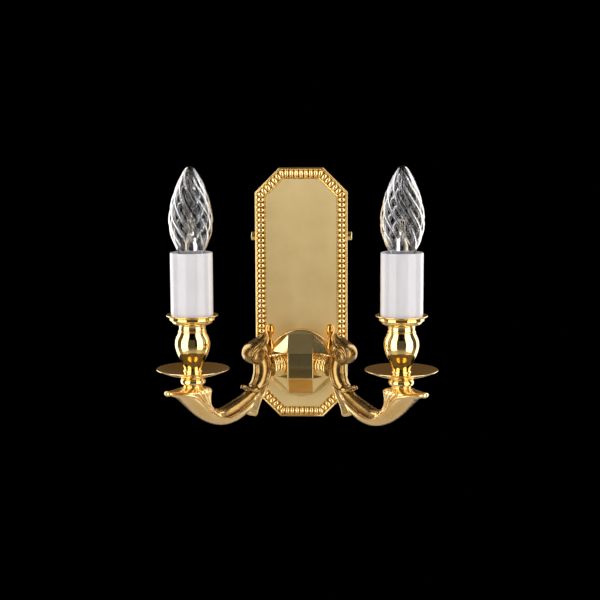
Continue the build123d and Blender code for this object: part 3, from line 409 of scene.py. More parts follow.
# ------------------------------------------------------------------ settings
class SconceSizes(bpy.types.PropertyGroup):
    plate_width: FloatProperty(
        name="Cover width", description="Width of the eight-sided cover",
        default=0.077, unit="LENGTH")
    plate_height: FloatProperty(
        name="Cover height", description="Height of the eight-sided cover",
        default=0.210, unit="LENGTH")
    plate_corner: FloatProperty(
        name="Cover corner", description="How much each corner of the cover is cut back",
        default=0.0203, unit="LENGTH")
    bead_length: FloatProperty(
        name="Bead length", description="Length of one bead across its band",
        default=0.0058, unit="LENGTH")
    bead_radius: FloatProperty(
        name="Bead radius", description="Largest radius of a bead",
        default=0.0020, unit="LENGTH")
    bead_end_radius: FloatProperty(
        name="Bead end radius", description="Radius of a bead's ends",
        default=0.0009, unit="LENGTH")
    bead_pitch: FloatProperty(
        name="Bead pitch", description="Distance from one bead to the next",
        default=0.00424, unit="LENGTH")
    flute_count: IntProperty(
        name="Glass flutes", description="Number of twisted flutes around a bulb",
        default=10, min=0)
    glass_wall: FloatProperty(
        name="Glass wall", description="Thickness of a bulb's glass",
        default=0.0007, unit="LENGTH")
    flute_depth: FloatProperty(
        name="Flute depth", description="Depth of the flutes in the bulb's glass",
        default=0.0024, unit="LENGTH")
    flute_twist: FloatProperty(
        name="Flute twist", description="Turn of the flutes for each metre of height",
        default=48.0)
    cast_grain: FloatProperty(
        name="Casting detail", description="Size of the smallest form on the cast arms",
        default=0.00042, unit="LENGTH")


class SconceFinishes(bpy.types.PropertyGroup):
    gilt_roughness: FloatProperty(
        name="Polish", description="Roughness of the polished brass",
        default=0.10, min=0.0, max=1.0)
    satin_roughness: FloatProperty(
        name="Satin", description="Roughness of the satin brass field",
        default=0.55, min=0.0, max=1.0)


class SconceStage(bpy.types.PropertyGroup):
    distance: FloatProperty(
        name="Camera distance", description="Camera to the light's middle",
        default=0.9669, unit="LENGTH")
    azimuth: FloatProperty(
        name="Camera azimuth", description="Camera turned to the right of straight ahead",
        default=radians(2.79), subtype="ANGLE")
    elevation: FloatProperty(
        name="Camera elevation", description="Camera above the level",
        default=radians(7.35), subtype="ANGLE")
    roll: FloatProperty(
        name="Camera roll", description="Camera's tilt about its own axis",
        default=radians(-0.22), subtype="ANGLE")
    lens: FloatProperty(
        name="Lens", description="Focal length in millimetres on a 36 mm sensor", default=72.0)
    target: FloatVectorProperty(
        name="Target", description="Point in the middle of the picture",
        default=(0.00077, -0.060, -0.00017), unit="LENGTH")


# ------------------------------------------------------------------ finishes
class SCONCE_OT_finishes(bpy.types.Operator):
    """Makes the light's materials and gives the hidden parts theirs."""

    bl_idname = "sconce.finishes"
    bl_label = "Make finishes"

    def execute(self, context):
        look = context.scene.sconce_finishes
        shine, satin = look.gilt_roughness, look.satin_roughness
        # Buffed brass under clear lacquer: hard bright bands with faint slow waves.
        metal("polished brass", ("#F7DB9C", "#F0CD82"), (shine * 0.7, shine * 1.4), 0.03, 0.02)
        # Sand-cast brass, dressed and lacquered, with soft bands; painted shade makes it darker
        # olive gold on the tubes and scroll, and it keeps its pale tone on the leaf, shell and
        # tail.
        metal_with_painted_shade("cast brass with painted shade", ("#F4D59E", "#E9C37E"), ("#B0905A", "#967642"),
                    (shine * 2.0, shine * 2.8))
        # Brushed and lacquered sheet: an even pale glow without any clear reflection.
        metal("satin brass", ("#F1D9A0", "#EBD096"), (satin - 0.03, satin + 0.03), 0.02, 0.10,
              SATIN_GRAIN)
        # Rolled bead strip: small sharp glints.
        metal("beaded brass", ("#F6DDA6", "#E9C988"), (shine, shine * 2.0), 0.04, 0.05)
        # Painted reflection and shade: polished brass coloured a darker amber that stands in for
        # the brass it mirrors beside it.
        metal("brass with painted amber reflection", ("#E0A850", "#C98E38"), (shine * 0.8, shine * 1.4), 0.03, 0.02)
        # Spun disc: a soft sheen that darkens towards the top.
        domed_metal("domed brass", ("#F3D596", "#EACB88"), (0.27, 0.33), DISH_MIDDLE, 0.15)
        # Turned brass screws: fairly bright, with fine tool marks.
        metal("screw brass", ("#EFDC9A", "#DDBE6E"), (0.16, 0.26), 0.04, 0.10)
        # Zinc-plated steel: a cool, cloudy grey.
        metal("zinc steel", ("#C9CBC8", "#B4B7B6"), (0.28, 0.42), 0.05, 0.20)
        # Rolled contact brass: paler and duller than the polished parts.
        metal("contact brass", ("#DCC588", "#C9AE6C"), (0.20, 0.34), 0.04, 0.12)
        # Rolled aluminium cap: silver with soft streaks.
        metal("cap metal", ("#D9D9D6", "#C6C6C4"), (0.18, 0.30), 0.04, 0.12)
        # Solder: a lumpy dull bead.
        metal("solder", ("#BFC0C2", "#A9AAAD"), (0.30, 0.45), 0.12, 0.20)
        # Drawn nickel wire: thin warm-grey glints.
        metal("nickel wire", ("#CFC4B4", "#B3A898"), (0.18, 0.28), 0.02, 0.05)
        # Drawn tungsten: a pale, finely rough wire.
        metal("tungsten wire", ("#E8E4DC", "#C4C0B8"), (0.25, 0.35), 0.02, 0.10, DRAWN_GRAIN)
        # Glossy moulded tube: white, slightly milky at its rim.
        moulded("candle white", ("#CAC7CB", "#C4C2C7"), (0.10, 0.15), 0.02, 0.35)
        # Moulded phenolic resin: near black and matt.
        moulded("holder black", ("#1B1B1C", "#151516"), (0.35, 0.5), 0.15)
        # Moulded nylon: warm ivory.
        moulded("connector ivory", ("#E2DAC4", "#D6CDB6"), (0.4, 0.55), 0.12)
        # Extruded PVC sheath: off-white with a dull sheen.
        moulded("lead sheath", ("#CFC9BC", "#C0B9AB"), (0.35, 0.45), 0.10)
        # Moulded dark glass: black and shiny.
        moulded("insulator glass", ("#14141A", "#0D0D12"), (0.08, 0.14), 0.04)
        # Blown thin glass: bright at its edges, nearly unseen in its middle.
        clear_glass("bulb glass", "#F4F5FA", (0.0, 0.01), 0.003, 1.36)
        # Pressed glass: clear, with a slightly uneven skin.
        clear_glass("mount glass", "#F0F1F5", (0.0, 0.06), 0.10, 1.5)
        # Matt background paper: an even pale grey.
        moulded("floor paper", ("#A9A49B", "#A19C93"), (0.6, 0.8), 0.05)
        hidden = {"wall_bracket": "zinc steel", "boss_screws": "zinc steel",
                  "terminal_block": "connector ivory", "terminal_tubes": "contact brass",
                  "terminal_screws": "screw brass", "earth_screw": "screw brass"}
        sided = {"side_screw": "screw brass", "arm_nipple": "zinc steel",
                 "arm_locknut": "zinc steel", "stem_tube": "zinc steel",
                 "arm_wire": "lead sheath", "lampholder_body": "holder black",
                 "lampholder_shell": "contact brass", "lampholder_contact": "contact brass",
                 "bulb_cap": "cap metal", "bulb_insulator": "insulator glass",
                 "bulb_contact": "solder"}
        for name, _side in SIDES:
            hidden.update({f"{node}_{name}": material for node, material in sided.items()})
        for node, material in hidden.items():
            set_materials(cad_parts[node], material)
        return {"FINISHED"}


# ------------------------------------------------------------------ cover
# Inset from the cover's edge and distance from the wall, from the hollow back round to the field.
COVER_PROFILE = [
    (1.5, 17.0), (1.5, 0.2), (1.3, 0.0), (0.2, 0.0), (0.0, 0.2), (0.0, 18.95), (0.06, 19.35),
    (0.22, 19.7), (0.48, 19.93), (0.8, 19.98), (1.05, 19.85), (1.25, 19.6), (1.32, 19.25),
    (1.4, 18.85), (1.7, 18.62), (4.7, 18.5), (7.7, 18.62), (7.98, 18.85), (8.08, 19.3),
    (8.22, 19.7), (8.5, 19.93), (8.9, 20.0), (9.4, 20.0)]
BACK_OF_FIELD, FIELD_INSET, BAND_MIDDLE, BEAD_DEPTH = 17.0, 8.2, 4.7, 18.6
COVER_HOLES = [(BOSS_HEIGHT, 9.0), (BOSS_HEIGHT - 17.0, 2.2), (BOSS_HEIGHT + 17.0, 2.2)]
HOLE_SIDES = 48


def plate_corners(sizes, inset):
    """The corners of the cover's outline, moved inwards, as (x, z) in millimetres."""
    corner = sizes.plate_corner / MM - inset * (2 - sqrt(2))
    x = sizes.plate_width / MM / 2 - inset
    z = sizes.plate_height / MM / 2 - inset
    half = [(x, z - corner), (x - corner, z), (corner - x, z), (-x, z - corner)]
    return half + [(-px, -pz) for px, pz in half]


def bead_tree():
    """Geometry Nodes: one crowned bead on each point, laid across its band."""
    tree, given = shape_tree("Bead rows", ("Length", "Radius", "End radius"))
    barrel = add_node(tree, "GeometryNodeMeshCylinder",
                      {"Vertices": 14, "Side Segments": 6, "Radius": 1.0, "Depth": 2.0})
    at = add_node(tree, "GeometryNodeInputPosition").outputs[0]
    x, y, z = add_node(tree, "ShaderNodeSeparateXYZ", {0: at}).outputs
    crown = ("SUBTRACT", 1.0, ("MULTIPLY", z, z))
    swell = ("MULTIPLY", crown, ("SUBTRACT", given["Radius"], given["End radius"]))
    radius = add_node(tree, "ShaderNodeMath", {0: given["End radius"], 1: swell},
                      operation="ADD").outputs[0]
    length = ("MULTIPLY", given["Length"], 0.5)
    crowned = add_node(tree, "ShaderNodeCombineXYZ", {
        "X": ("MULTIPLY", x, radius), "Y": ("MULTIPLY", y, radius), "Z": ("MULTIPLY", z, length)})
    shaped = add_node(tree, "GeometryNodeSetPosition",
                      {"Geometry": barrel.outputs["Mesh"], "Position": crowned.outputs[0]})
    smooth = add_node(tree, "GeometryNodeSetShadeSmooth",
                      {"Geometry": shaped.outputs["Geometry"]})
    laid = add_node(tree, "GeometryNodeInputNamedAttribute", {"Name": "across"},
                    data_type="FLOAT_VECTOR")
    turn = add_node(tree, "FunctionNodeAlignRotationToVector",
                    {"Vector": laid.outputs["Attribute"]}, axis="Z")
    rows = add_node(tree, "GeometryNodeInstanceOnPoints", {
        "Points": given["Geometry"], "Instance": smooth.outputs["Geometry"],
        "Rotation": turn.outputs["Rotation"]})
    end_tree(tree, rows.outputs["Instances"], given)
    return tree


def bead_rows(sizes):
    """Points in rows along the middle of the bead band, each with its direction across it."""
    spots, directions = [], []
    corners = plate_corners(sizes, BAND_MIDDLE)
    sides = zip(corners[-1:] + corners[:-1], corners, corners[1:] + corners[:1])
    for before, (x0, z0), (x1, z1) in sides:
        count = round(hypot(x1 - x0, z1 - z0) * MM / sizes.bead_pitch)
        along = Vector((x1 - x0, 0, z1 - z0)).normalized()
        arriving = Vector((x0 - before[0], 0, z0 - before[1])).normalized()
        for i in range(count):
            share = i / count
            spots.append(Vector((x0 + (x1 - x0) * share, -BEAD_DEPTH, z0 + (z1 - z0) * share)))
            facing = along if i else (along + arriving).normalized()
            directions.append(facing.cross(Vector((0, 1, 0))))
    rows = mesh_from("bead_rows", [p * MM for p in spots], [])
    laid = rows.attributes.new("across", "FLOAT_VECTOR", "POINT")
    laid.data.foreach_set("vector", np.array(directions, float).ravel())
    return rows


def cover_mesh(sizes):
    """The hollow cover, with its wire hole and the holes for the boss screws."""
    bm = bmesh.new()
    rings = [[bm.verts.new((x * MM, -depth * MM, z * MM)) for x, z in plate_corners(sizes, inset)]
             for inset, depth in COVER_PROFILE]
    for lower, upper in zip(rings, rings[1:]):
        for i in range(8):
            j = (i + 1) % 8
            bm.faces.new((lower[i], lower[j], upper[j], upper[i]))
    turns = [2 * pi * k / HOLE_SIDES for k in range(HOLE_SIDES)]
    back, front = ([[bm.verts.new((radius * cos(turn) * MM, -depth * MM,
                                   (middle + radius * sin(turn)) * MM)) for turn in turns]
                    for middle, radius in COVER_HOLES] for depth in (BACK_OF_FIELD, FACE_DEPTH))
    for near, far in zip(front, back):
        for k in range(HOLE_SIDES):
            n = (k + 1) % HOLE_SIDES
            bm.faces.new((near[k], near[n], far[n], far[k]))
    for outlines in ([rings[0], *back], [rings[-1], *front]):
        edges = [bm.edges.get((a, b)) for ring in outlines
                 for a, b in zip(ring, ring[1:] + ring[:1])]
        bmesh.ops.triangle_fill(bm, edges=edges, use_beauty=True)
    mesh = bpy.data.meshes.new("cover_body")
    bm.to_mesh(mesh)
    bm.free()
    tidy_mesh(mesh, 24.0)
    return mesh


class SCONCE_OT_cover(bpy.types.Operator):
    """Builds the eight-sided cover with its rim, bead rows and satin field."""

    bl_idname = "sconce.cover"
    bl_label = "Build cover"

    def execute(self, context):
        sizes = context.scene.sconce_sizes
        beads = add_object("cover_beads", bead_rows(sizes))
        run_tree(beads, bead_tree(), {
            "Length": sizes.bead_length, "Radius": sizes.bead_radius,
            "End radius": sizes.bead_end_radius, "Finish": MATERIALS["beaded brass"]})
        cover = add_object("brass_cover", cover_mesh(sizes))
        set_materials(cover, "polished brass", "satin brass")
        width = sizes.plate_width / 2 - FIELD_INSET * MM
        height = sizes.plate_height / 2 - FIELD_INSET * MM
        for face in cover.data.polygons:
            corners = [cover.data.vertices[v].co for v in face.vertices]
            satin = all(p.y < (0.04 - FACE_DEPTH) * MM and abs(p.x) < width
                        and abs(p.z) < height for p in corners)
            face.material_index = 1 if satin else 0
        place(cover, "fixture", "satin_brass", "backplate")
        place(beads, "fixture", "satin_brass")
        return {"FINISHED"}


# ------------------------------------------------------------------ boss
DISC_FACE = 10.35      # the disc's flat face, in front of the field
FACETS_START = 10.0    # the facets' edges are further out than this from the field
FACET_REACH = 25.5     # and both their ends are further than this from the boss's middle
SHORTEST_EDGE = 4.0
EDGE_ANGLES = (radians(25), radians(70))
EDGE_SOFTNESS = 0.45
COLLAR_START, COLLAR_LENGTH, COLLAR_RINGS = 24.987, 11.0, 3
COLLAR_BORE, COLLAR_RADIUS, COLLAR_SWELL = 5.05, 7.7, 1.7
COLLAR_GROOVE = 0.08   # as a share of one ring's length
DISH_MIDDLE = (0.0, -0.0304, BOSS_HEIGHT * MM)  # on the disc's face, in metres


class SCONCE_OT_boss(bpy.types.Operator):
    """Builds the faceted boss with softened edges, and the two ribbed collars."""

    bl_idname = "sconce.boss"
    bl_label = "Build boss"

    def execute(self, context):
        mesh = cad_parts["boss"].data.copy()
        middle = Vector((0, -FACE_DEPTH * MM, BOSS_HEIGHT * MM))
        with editing(mesh) as bm:
            bmesh.ops.remove_doubles(bm, verts=bm.verts, dist=1e-6)
        # Read again, so that each normal is that of a merged face.
        with editing(mesh) as bm:
            bmesh.ops.dissolve_limit(bm, angle_limit=radians(0.6), verts=bm.verts, edges=bm.edges)
            crisp = [edge for edge in bm.edges
                     if len(edge.link_faces) == 2 and edge.is_convex
                     and edge.calc_length() > SHORTEST_EDGE * MM
                     and EDGE_ANGLES[0] < edge.calc_face_angle(0) < EDGE_ANGLES[1]
                     and all((v.co - middle).length > FACET_REACH * MM
                             and v.co.y < -(FACE_DEPTH + FACETS_START) * MM for v in edge.verts)]
            bmesh.ops.bevel(bm, geom=crisp, offset=EDGE_SOFTNESS * MM, segments=3, profile=0.6,
                            affect="EDGES", clamp_overlap=True)
        mesh.shade_smooth()
        mesh.set_sharp_from_angle(angle=radians(14))
        boss = add_object("faceted_boss", mesh)
        set_materials(boss, "polished brass", "domed brass", "brass with painted amber reflection")
        # The disc's flat face is domed, and the square facet that looks down gets the painted amber
        # reflection and shade.
        for face in mesh.polygons:
            flat = (face.normal.y < -0.99
                    and abs(face.center.y + (FACE_DEPTH + DISC_FACE) * MM) < 0.2 * MM)
            under = (abs(face.normal.x) < 0.05 and face.normal.z < -0.6
                     and face.area > 50 * MM * MM)
            face.material_index = 1 if flat else 2 if under else 0
        place(boss, "fixture", "polished_brass", "boss")
        for name, side in SIDES:
            profile = [(COLLAR_BORE, COLLAR_START)]
            for i in range(COLLAR_RINGS):
                for share in (k / 8 for k in range(9)):
                    along = i + COLLAR_GROOVE / 2 + (1 - COLLAR_GROOVE) * share
                    profile.append((COLLAR_RADIUS + COLLAR_SWELL * sin(pi * share) ** 0.7,
                                    COLLAR_START + COLLAR_LENGTH / COLLAR_RINGS * along))
            profile.append((COLLAR_BORE, COLLAR_START + COLLAR_LENGTH))
            label = f"ribbed_collar_{name}"
            collar = add_object(label, lathe_mesh(label, profile, arm_point(side, 0, BOSS_HEIGHT),
                                                  arm_directions(side)[0], 96))
            set_materials(collar, "polished brass")
            place(collar, "fixture", "polished_brass", f"collar_{name}")
        return {"FINISHED"}


# ------------------------------------------------------------------ arms
# Round forms of an arm, as lines of (u, z, s, half thickness, half width). Both sides get the
# paired ones, at s and at -s.
SINGLE_FORMS = {
    "scroll tongue": [
        (40.8, -29.2, 0, 0.9, 1.0), (42.6, -31.2, 0, 1.6, 3.6), (46.4, -33.9, 0, 2.0, 6.0),
        (51.8, -36.6, 0, 2.2, 6.9), (57.0, -39.2, 0, 2.2, 6.9), (59.6, -43.4, 0, 2.0, 6.6),
        (58.8, -47.6, 0, 1.8, 6.0), (55.6, -50.8, 0, 1.6, 4.8)],
    "scroll back": [
        (46.0, -35.0, 0, 2.4, 3.4), (42.4, -39.0, 0, 3.6, 3.8), (41.0, -44.5, 0, 3.8, 4.4),
        (41.6, -50.0, 0, 4.2, 5.2)],
    "arm body": [
        (49.0, -43.0, 0, 6.2, 5.6), (46.2, -48.0, 0, 7.0, 6.3), (44.5, -53.0, 0, 7.2, 6.6),
        (44.1, -58.0, 0, 7.1, 6.7), (45.0, -63.5, 0, 6.9, 6.6), (47.6, -69.2, 0, 6.5, 6.4),
        (51.4, -73.6, 0, 6.1, 6.2)],
    "lower tube": [
        (49.0, -71.5, 0, 4.8, 5.0), (54.0, -76.8, 0, 5.3, 5.5), (60.5, -80.9, 0, 5.4, 5.9),
        (68.5, -84.4, 0, 5.4, 6.1), (78.0, -87.8, 0, 5.4, 6.2), (86.0, -89.9, 0, 5.2, 6.4),
        (93.0, -90.0, 0, 5.4, 6.8)],
    "boss stub": [
        (35.99, -57.5, 0, 6.2, 6.2), (43.0, -57.5, 0, 6.2, 6.2)],
    "cuff curl": [
        (57.0, -73.4, 0, 2.0, 4.8), (59.8, -72.0, 0, 1.5, 3.4), (62.2, -70.7, 0, 1.2, 2.1),
        (64.2, -70.2, 0, 1.4, 1.8), (65.4, -71.0, 0, 1.2, 1.4), (65.5, -72.0, 0, 0.6, 0.7)],
    "leaf tongue": [
        (108.0, -70.0, 0, 3.0, 9.0), (116.0, -66.9, 0, 3.0, 11.0), (122.0, -66.3, 0, 2.4, 10.8),
        (128.0, -66.0, 0, 1.9, 8.8), (133.0, -65.8, 0, 1.6, 6.2), (136.5, -65.6, 0, 1.6, 4.2),
        (138.6, -65.6, 0, 2.0, 3.7), (140.2, -65.7, 0, 1.9, 3.1), (141.0, -65.8, 0, 0.8, 1.2)],
}
PAIRED_FORMS = {
    "tongue lip": [
        (40.9, -29.4, 0.9, 0.7, 0.8), (42.3, -32.4, 3.4, 0.8, 0.9), (44.0, -34.9, 5.6, 0.85, 0.9),
        (46.4, -37.0, 6.8, 0.85, 0.9), (49.8, -39.0, 7.2, 0.85, 0.9),
        (53.3, -40.7, 7.3, 0.85, 0.9), (56.4, -42.9, 7.1, 0.85, 0.9), (58.4, -45.8, 6.4, 0.8, 0.9),
        (58.6, -48.8, 5.2, 0.6, 0.7)],
    "scroll eye": [
        (49.6, -49.4, 6.0, 0.7, 0.7), (48.6, -46.4, 6.3, 0.8, 0.8), (50.4, -43.9, 6.5, 0.8, 0.8),
        (53.2, -43.4, 6.6, 0.8, 0.8), (55.2, -45.3, 6.6, 0.9, 0.8), (54.3, -47.5, 6.5, 1.0, 0.9),
        (52.4, -46.9, 6.4, 1.1, 1.0)],
    "back ridge": [
        (47.0, -40.4, 5.8, 0.6, 0.6), (43.9, -44.3, 5.5, 0.7, 0.7), (41.2, -48.6, 5.3, 0.75, 0.75),
        (39.5, -52.8, 5.1, 0.8, 0.8), (38.9, -57.5, 5.0, 0.8, 0.8), (39.5, -61.9, 5.2, 0.8, 0.8),
        (41.3, -66.2, 5.8, 0.8, 0.8), (44.4, -69.9, 6.5, 0.8, 0.8), (48.6, -72.5, 7.0, 0.85, 0.8),
        (52.6, -73.9, 7.0, 0.85, 0.8), (56.2, -74.5, 6.2, 0.85, 0.8),
        (58.9, -73.8, 4.8, 0.85, 0.8), (61.0, -72.2, 3.2, 0.85, 0.8),
        (62.8, -70.8, 1.5, 0.8, 0.8)],
    "tail edge": [
        (39.6, -62.0, 3.8, 0.6, 0.6), (39.6, -70.3, 3.3, 0.6, 0.6), (41.8, -74.7, 3.0, 0.6, 0.6),
        (44.0, -79.0, 2.8, 0.6, 0.6), (46.4, -82.0, 2.6, 0.6, 0.6), (48.8, -86.3, 2.4, 0.6, 0.6),
        (50.8, -91.2, 2.2, 0.55, 0.55), (51.9, -95.6, 2.0, 0.5, 0.5)],
    "shell edge": [
        (54.6, -79.2, 5.2, 0.8, 0.8), (58.2, -82.4, 6.0, 0.9, 0.9), (63.8, -85.4, 6.6, 0.9, 0.9),
        (70.0, -88.0, 7.1, 0.9, 0.9), (77.0, -90.6, 7.6, 0.9, 0.9), (84.0, -92.0, 8.0, 0.8, 0.8),
        (91.5, -90.9, 8.4, 0.7, 0.7), (96.5, -88.8, 8.9, 0.7, 0.7), (100.8, -86.6, 9.3, 0.7, 0.7),
        (105.0, -83.4, 9.8, 0.7, 0.7), (109.0, -79.2, 10.4, 0.7, 0.7),
        (113.4, -74.6, 11.0, 0.7, 0.7), (118.0, -70.6, 11.4, 0.7, 0.7),
        (122.8, -68.2, 11.0, 0.7, 0.7), (128.4, -66.9, 9.2, 0.7, 0.7),
        (133.4, -66.2, 6.4, 0.7, 0.7), (137.4, -65.8, 3.8, 0.7, 0.7)],
}
# The rolled end of the scroll, from one side of the arm to the other: s, radius.
SCROLL_ROLL = [
    (-7.0, 2.5), (-6.7, 5.4), (-5.8, 7.2), (-3.9, 8.3), (0.0, 8.75), (3.9, 8.3), (5.8, 7.2),
    (6.7, 5.4), (7.0, 2.5)]
SCROLL_MIDDLE = (52.5, -44.2)
# The bud and the drop under it, turned about an upright line: radius, z.
BUD = [
    (0.0, -22.0), (1.8, -22.4), (3.1, -23.9), (3.7, -26.0), (3.5, -28.2), (2.8, -30.4),
    (1.9, -32.3), (1.4, -33.4), (1.5, -34.4), (2.4, -36.8), (3.5, -39.6), (3.4, -42.2),
    (2.5, -44.8), (1.3, -47.0), (0.0, -48.2)]
BUD_U = 34.6
# The open shell under the leaf: u, lowest z, edge z, half width.
LEAF_SHELL = [
    (56.0, -86.5, -82.0, 4.6), (60.0, -91.3, -83.4, 5.8), (66.0, -94.6, -86.4, 6.6),
    (72.0, -96.8, -88.8, 7.2), (78.0, -97.9, -90.9, 7.6), (84.0, -98.2, -92.0, 8.0),
    (90.0, -97.7, -91.2, 8.3), (96.0, -96.0, -89.0, 8.9), (102.0, -93.4, -85.8, 9.5),
    (108.0, -89.7, -80.3, 10.3), (114.0, -84.9, -74.1, 11.0), (120.0, -79.0, -69.5, 11.2),
    (126.0, -73.3, -67.4, 10.0), (131.0, -69.6, -66.5, 7.6), (135.5, -67.2, -66.0, 4.8),
    (138.5, -66.4, -65.8, 3.0)]
SHELL_FULLNESS = 0.85  # below 1 the trough is fuller than an ellipse
SHELL_DISH = 0.9       # how far its filling stays below its edges
# The ribbed husk between the seat and the shell: z, middle u, half length, half width, rib.
LEAF_HUSK = [
    (-60.9, 114.6, 8.5, 8.5, 0.0), (-61.6, 114.5, 7.6, 7.6, 0.0), (-62.6, 114.4, 7.0, 7.0, 0.1),
    (-63.5, 114.8, 8.6, 8.0, 0.2), (-64.5, 115.6, 12.6, 9.6, 0.35),
    (-66.0, 117.0, 17.6, 10.9, 0.45), (-68.0, 117.0, 18.6, 11.0, 0.5),
    (-70.5, 114.2, 14.6, 10.4, 0.55), (-74.0, 111.2, 11.0, 9.9, 0.55),
    (-78.0, 108.6, 8.9, 9.2, 0.55), (-81.5, 104.8, 7.2, 8.3, 0.5), (-84.5, 100.6, 6.4, 7.4, 0.4),
    (-87.5, 96.4, 5.6, 6.6, 0.2), (-91.0, 92.0, 4.2, 5.6, 0.0)]
HUSK_RIBS, HUSK_SIDES = 24, 240
# The leaf behind the bend, as (u, z) round its outline, and as (s, share) through it.
TAIL_LEAF = [
    (46.0, -66.0), (54.0, -80.0), (57.8, -87.0), (61.2, -90.6), (62.2, -92.2), (58.6, -94.7),
    (55.3, -95.7), (51.8, -96.2), (50.6, -91.2), (48.5, -86.3), (46.1, -82.0), (43.7, -79.0),
    (41.4, -74.6), (39.4, -70.4), (40.0, -64.0)]
TAIL_SECTION = [(-3.0, 0.86), (-2.4, 0.95), (-1.0, 1.0), (1.0, 1.0), (2.4, 0.95), (3.0, 0.86)]
# Where the painted shade gives way to the plain tone: up to just over the shell's edge, beyond a
# place on the leaf, and on the tail below a height.
EDGE_OVERLAP = 0.8
UNSHADED_LEAF_U, UNSHADED_LEAF_FADE = 84.0, 8.0
UNSHADED_TAIL_Z, UNSHADED_TAIL_FADE, UNSHADED_TAIL_U = -77.0, 2.5, 57.0
THICK_SIDES, THIN_SIDES = 32, 14  # points round a single and round a paired form
THINNEST = 0.1  # the least half thickness of a form
SOFTENING = (3, 0.5)  # passes over the joined skin, and how far each one goes


def swept_form(side, stations, sides, flip=1):
    """A round form along a line of the arm, with its own thickness and width at each station."""
    line = smooth_line(stations)
    turns = [2 * pi * k / sides for k in range(sides)]
    rings = []
    for i, (u, z, s, thick, wide) in enumerate(line):
        ahead = line[min(i + 1, len(line) - 1)] - line[max(i - 1, 0)]
        length = max(hypot(ahead[0], ahead[1]), 1e-9)
        rise, run = ahead[1] / length, ahead[0] / length
        thick, wide = max(thick, THINNEST), max(wide, THINNEST)
        rings.append([arm_point(side, u - rise * thick * cos(turn), z + run * thick * cos(turn),
                                flip * (s + wide * sin(turn))) for turn in turns])
    return ring_skin(rings)


def shell_form(side):
    """The open shell under the leaf, a trough that is filled up to just below its edges."""
    rings = []
    for u, low, edge, wide in smooth_line(LEAF_SHELL, 4):
        under = [(edge - (edge - low) * max(sin(turn), 0.0) ** SHELL_FULLNESS, wide * cos(turn))
                 for turn in (pi * k / 24 for k in range(25))]
        inside = [(edge - min(SHELL_DISH, (edge - low) / 3) * sin(turn), -wide * cos(turn))
                  for turn in (pi * k / 8 for k in range(1, 8))]
        rings.append([arm_point(side, u, z, s) for z, s in under + inside])
    return ring_skin(rings)


def husk_form(side):
    """The husk that fans out of the seat, with ribs all round it."""
    rings = []
    for z, middle, long, wide, rib in smooth_line(LEAF_HUSK, 5):
        ring = []
        for turn in (2 * pi * k / HUSK_SIDES for k in range(HUSK_SIDES)):
            # From 1.3 rib heights out to 1.3 in, with narrow backs and round valleys.
            swell = rib * (1.3 - 2.6 * abs(sin(HUSK_RIBS / 2 * turn)) ** 0.7)
            ring.append(arm_point(side, middle + (long + swell) * cos(turn), z,
                                  (wide + swell) * sin(turn)))
        rings.append(ring)
    return ring_skin(rings)


def tail_form(side):
    """The flat leaf behind the bend, with thinner edges."""
    outline = smooth_line(TAIL_LEAF + TAIL_LEAF[:1], 3)[:-1]
    middle = outline.mean(axis=0)
    return ring_skin([[arm_point(side, *(middle + (point - middle) * share), s)
                       for point in outline] for s, share in TAIL_SECTION])


def roll_form(side):
    """The rounded roll at the head of the scroll."""
    u, z = SCROLL_MIDDLE
    turns = [2 * pi * k / 72 for k in range(72)]
    return ring_skin([[arm_point(side, u + radius * cos(turn), z + radius * sin(turn), s)
                       for turn in turns] for s, radius in smooth_line(SCROLL_ROLL, 5)])


def unshaded_shares(side, mesh):
    """How much an arm's points are spared the painted shade: fully on the leaf, its shell and the
    tail.
    """
    outwards, _across = arm_directions(side)
    places = np.empty(len(mesh.vertices) * 3)
    mesh.vertices.foreach_get("co", places)
    places = places.reshape(-1, 3)
    u = ((places - np.array((0, -FACE_DEPTH * MM, 0))) @ np.array(outwards)) / MM
    z = places[:, 2] / MM
    edge = np.array(LEAF_SHELL)
    shell = np.clip(np.interp(u, edge[:, 0], edge[:, 2]) + EDGE_OVERLAP - z, 0, 1)
    leaf = np.clip((u - UNSHADED_LEAF_U) / UNSHADED_LEAF_FADE, 0, 1)
    tail = np.clip((UNSHADED_TAIL_Z - z) / UNSHADED_TAIL_FADE, 0, 1)
    return np.maximum.reduce([shell * (u > edge[0, 0]), leaf, tail * (u < UNSHADED_TAIL_U)])


class SCONCE_OT_arms(bpy.types.Operator):
    """Builds the two cast scroll arms from their round forms, joined into one skin."""

    bl_idname = "sconce.arms"
    bl_label = "Build arms"

    def execute(self, context):
        for name, side in SIDES:
            forms = [swept_form(side, stations, THICK_SIDES) for stations in SINGLE_FORMS.values()]
            forms += [swept_form(side, stations, THIN_SIDES, flip)
                      for stations in PAIRED_FORMS.values() for flip in (1, -1)]
            forms += [shell_form(side), husk_form(side), tail_form(side), roll_form(side)]
            arm = add_object(f"cast_arm_{name}", join_meshes(f"cast_arm_{name}", forms))
            remesh = arm.modifiers.new("Skin", "REMESH")
            remesh.mode = "VOXEL"
            remesh.voxel_size = context.scene.sconce_sizes.cast_grain
            smooth = arm.modifiers.new("Soften", "SMOOTH")
            smooth.iterations, smooth.factor = SOFTENING
            mesh = baked_mesh(arm)
            # Painted shade: this attribute says where the arm keeps its plain tone instead of the
            # darker painted one.
            bare = mesh.attributes.new("bare", "FLOAT", "POINT")
            bare.data.foreach_set("value", unshaded_shares(side, mesh))
            mesh.shade_smooth()
            mesh.update()
            set_materials(arm, "cast brass with painted shade")
            place(arm, "fixture", "cast_brass", f"arm_{name}")
            label = f"scroll_bud_{name}"
            bud = add_object(label, lathe_mesh(label, rounded_profile(BUD, 6),
                                               arm_point(side, BUD_U, 0), segments=64,
                                               closed=False))
            # Painted reflection and shade: the bud is coloured a darker amber.
            set_materials(bud, "brass with painted amber reflection")
            place(bud, "fixture", "cast_brass")
        return {"FINISHED"}


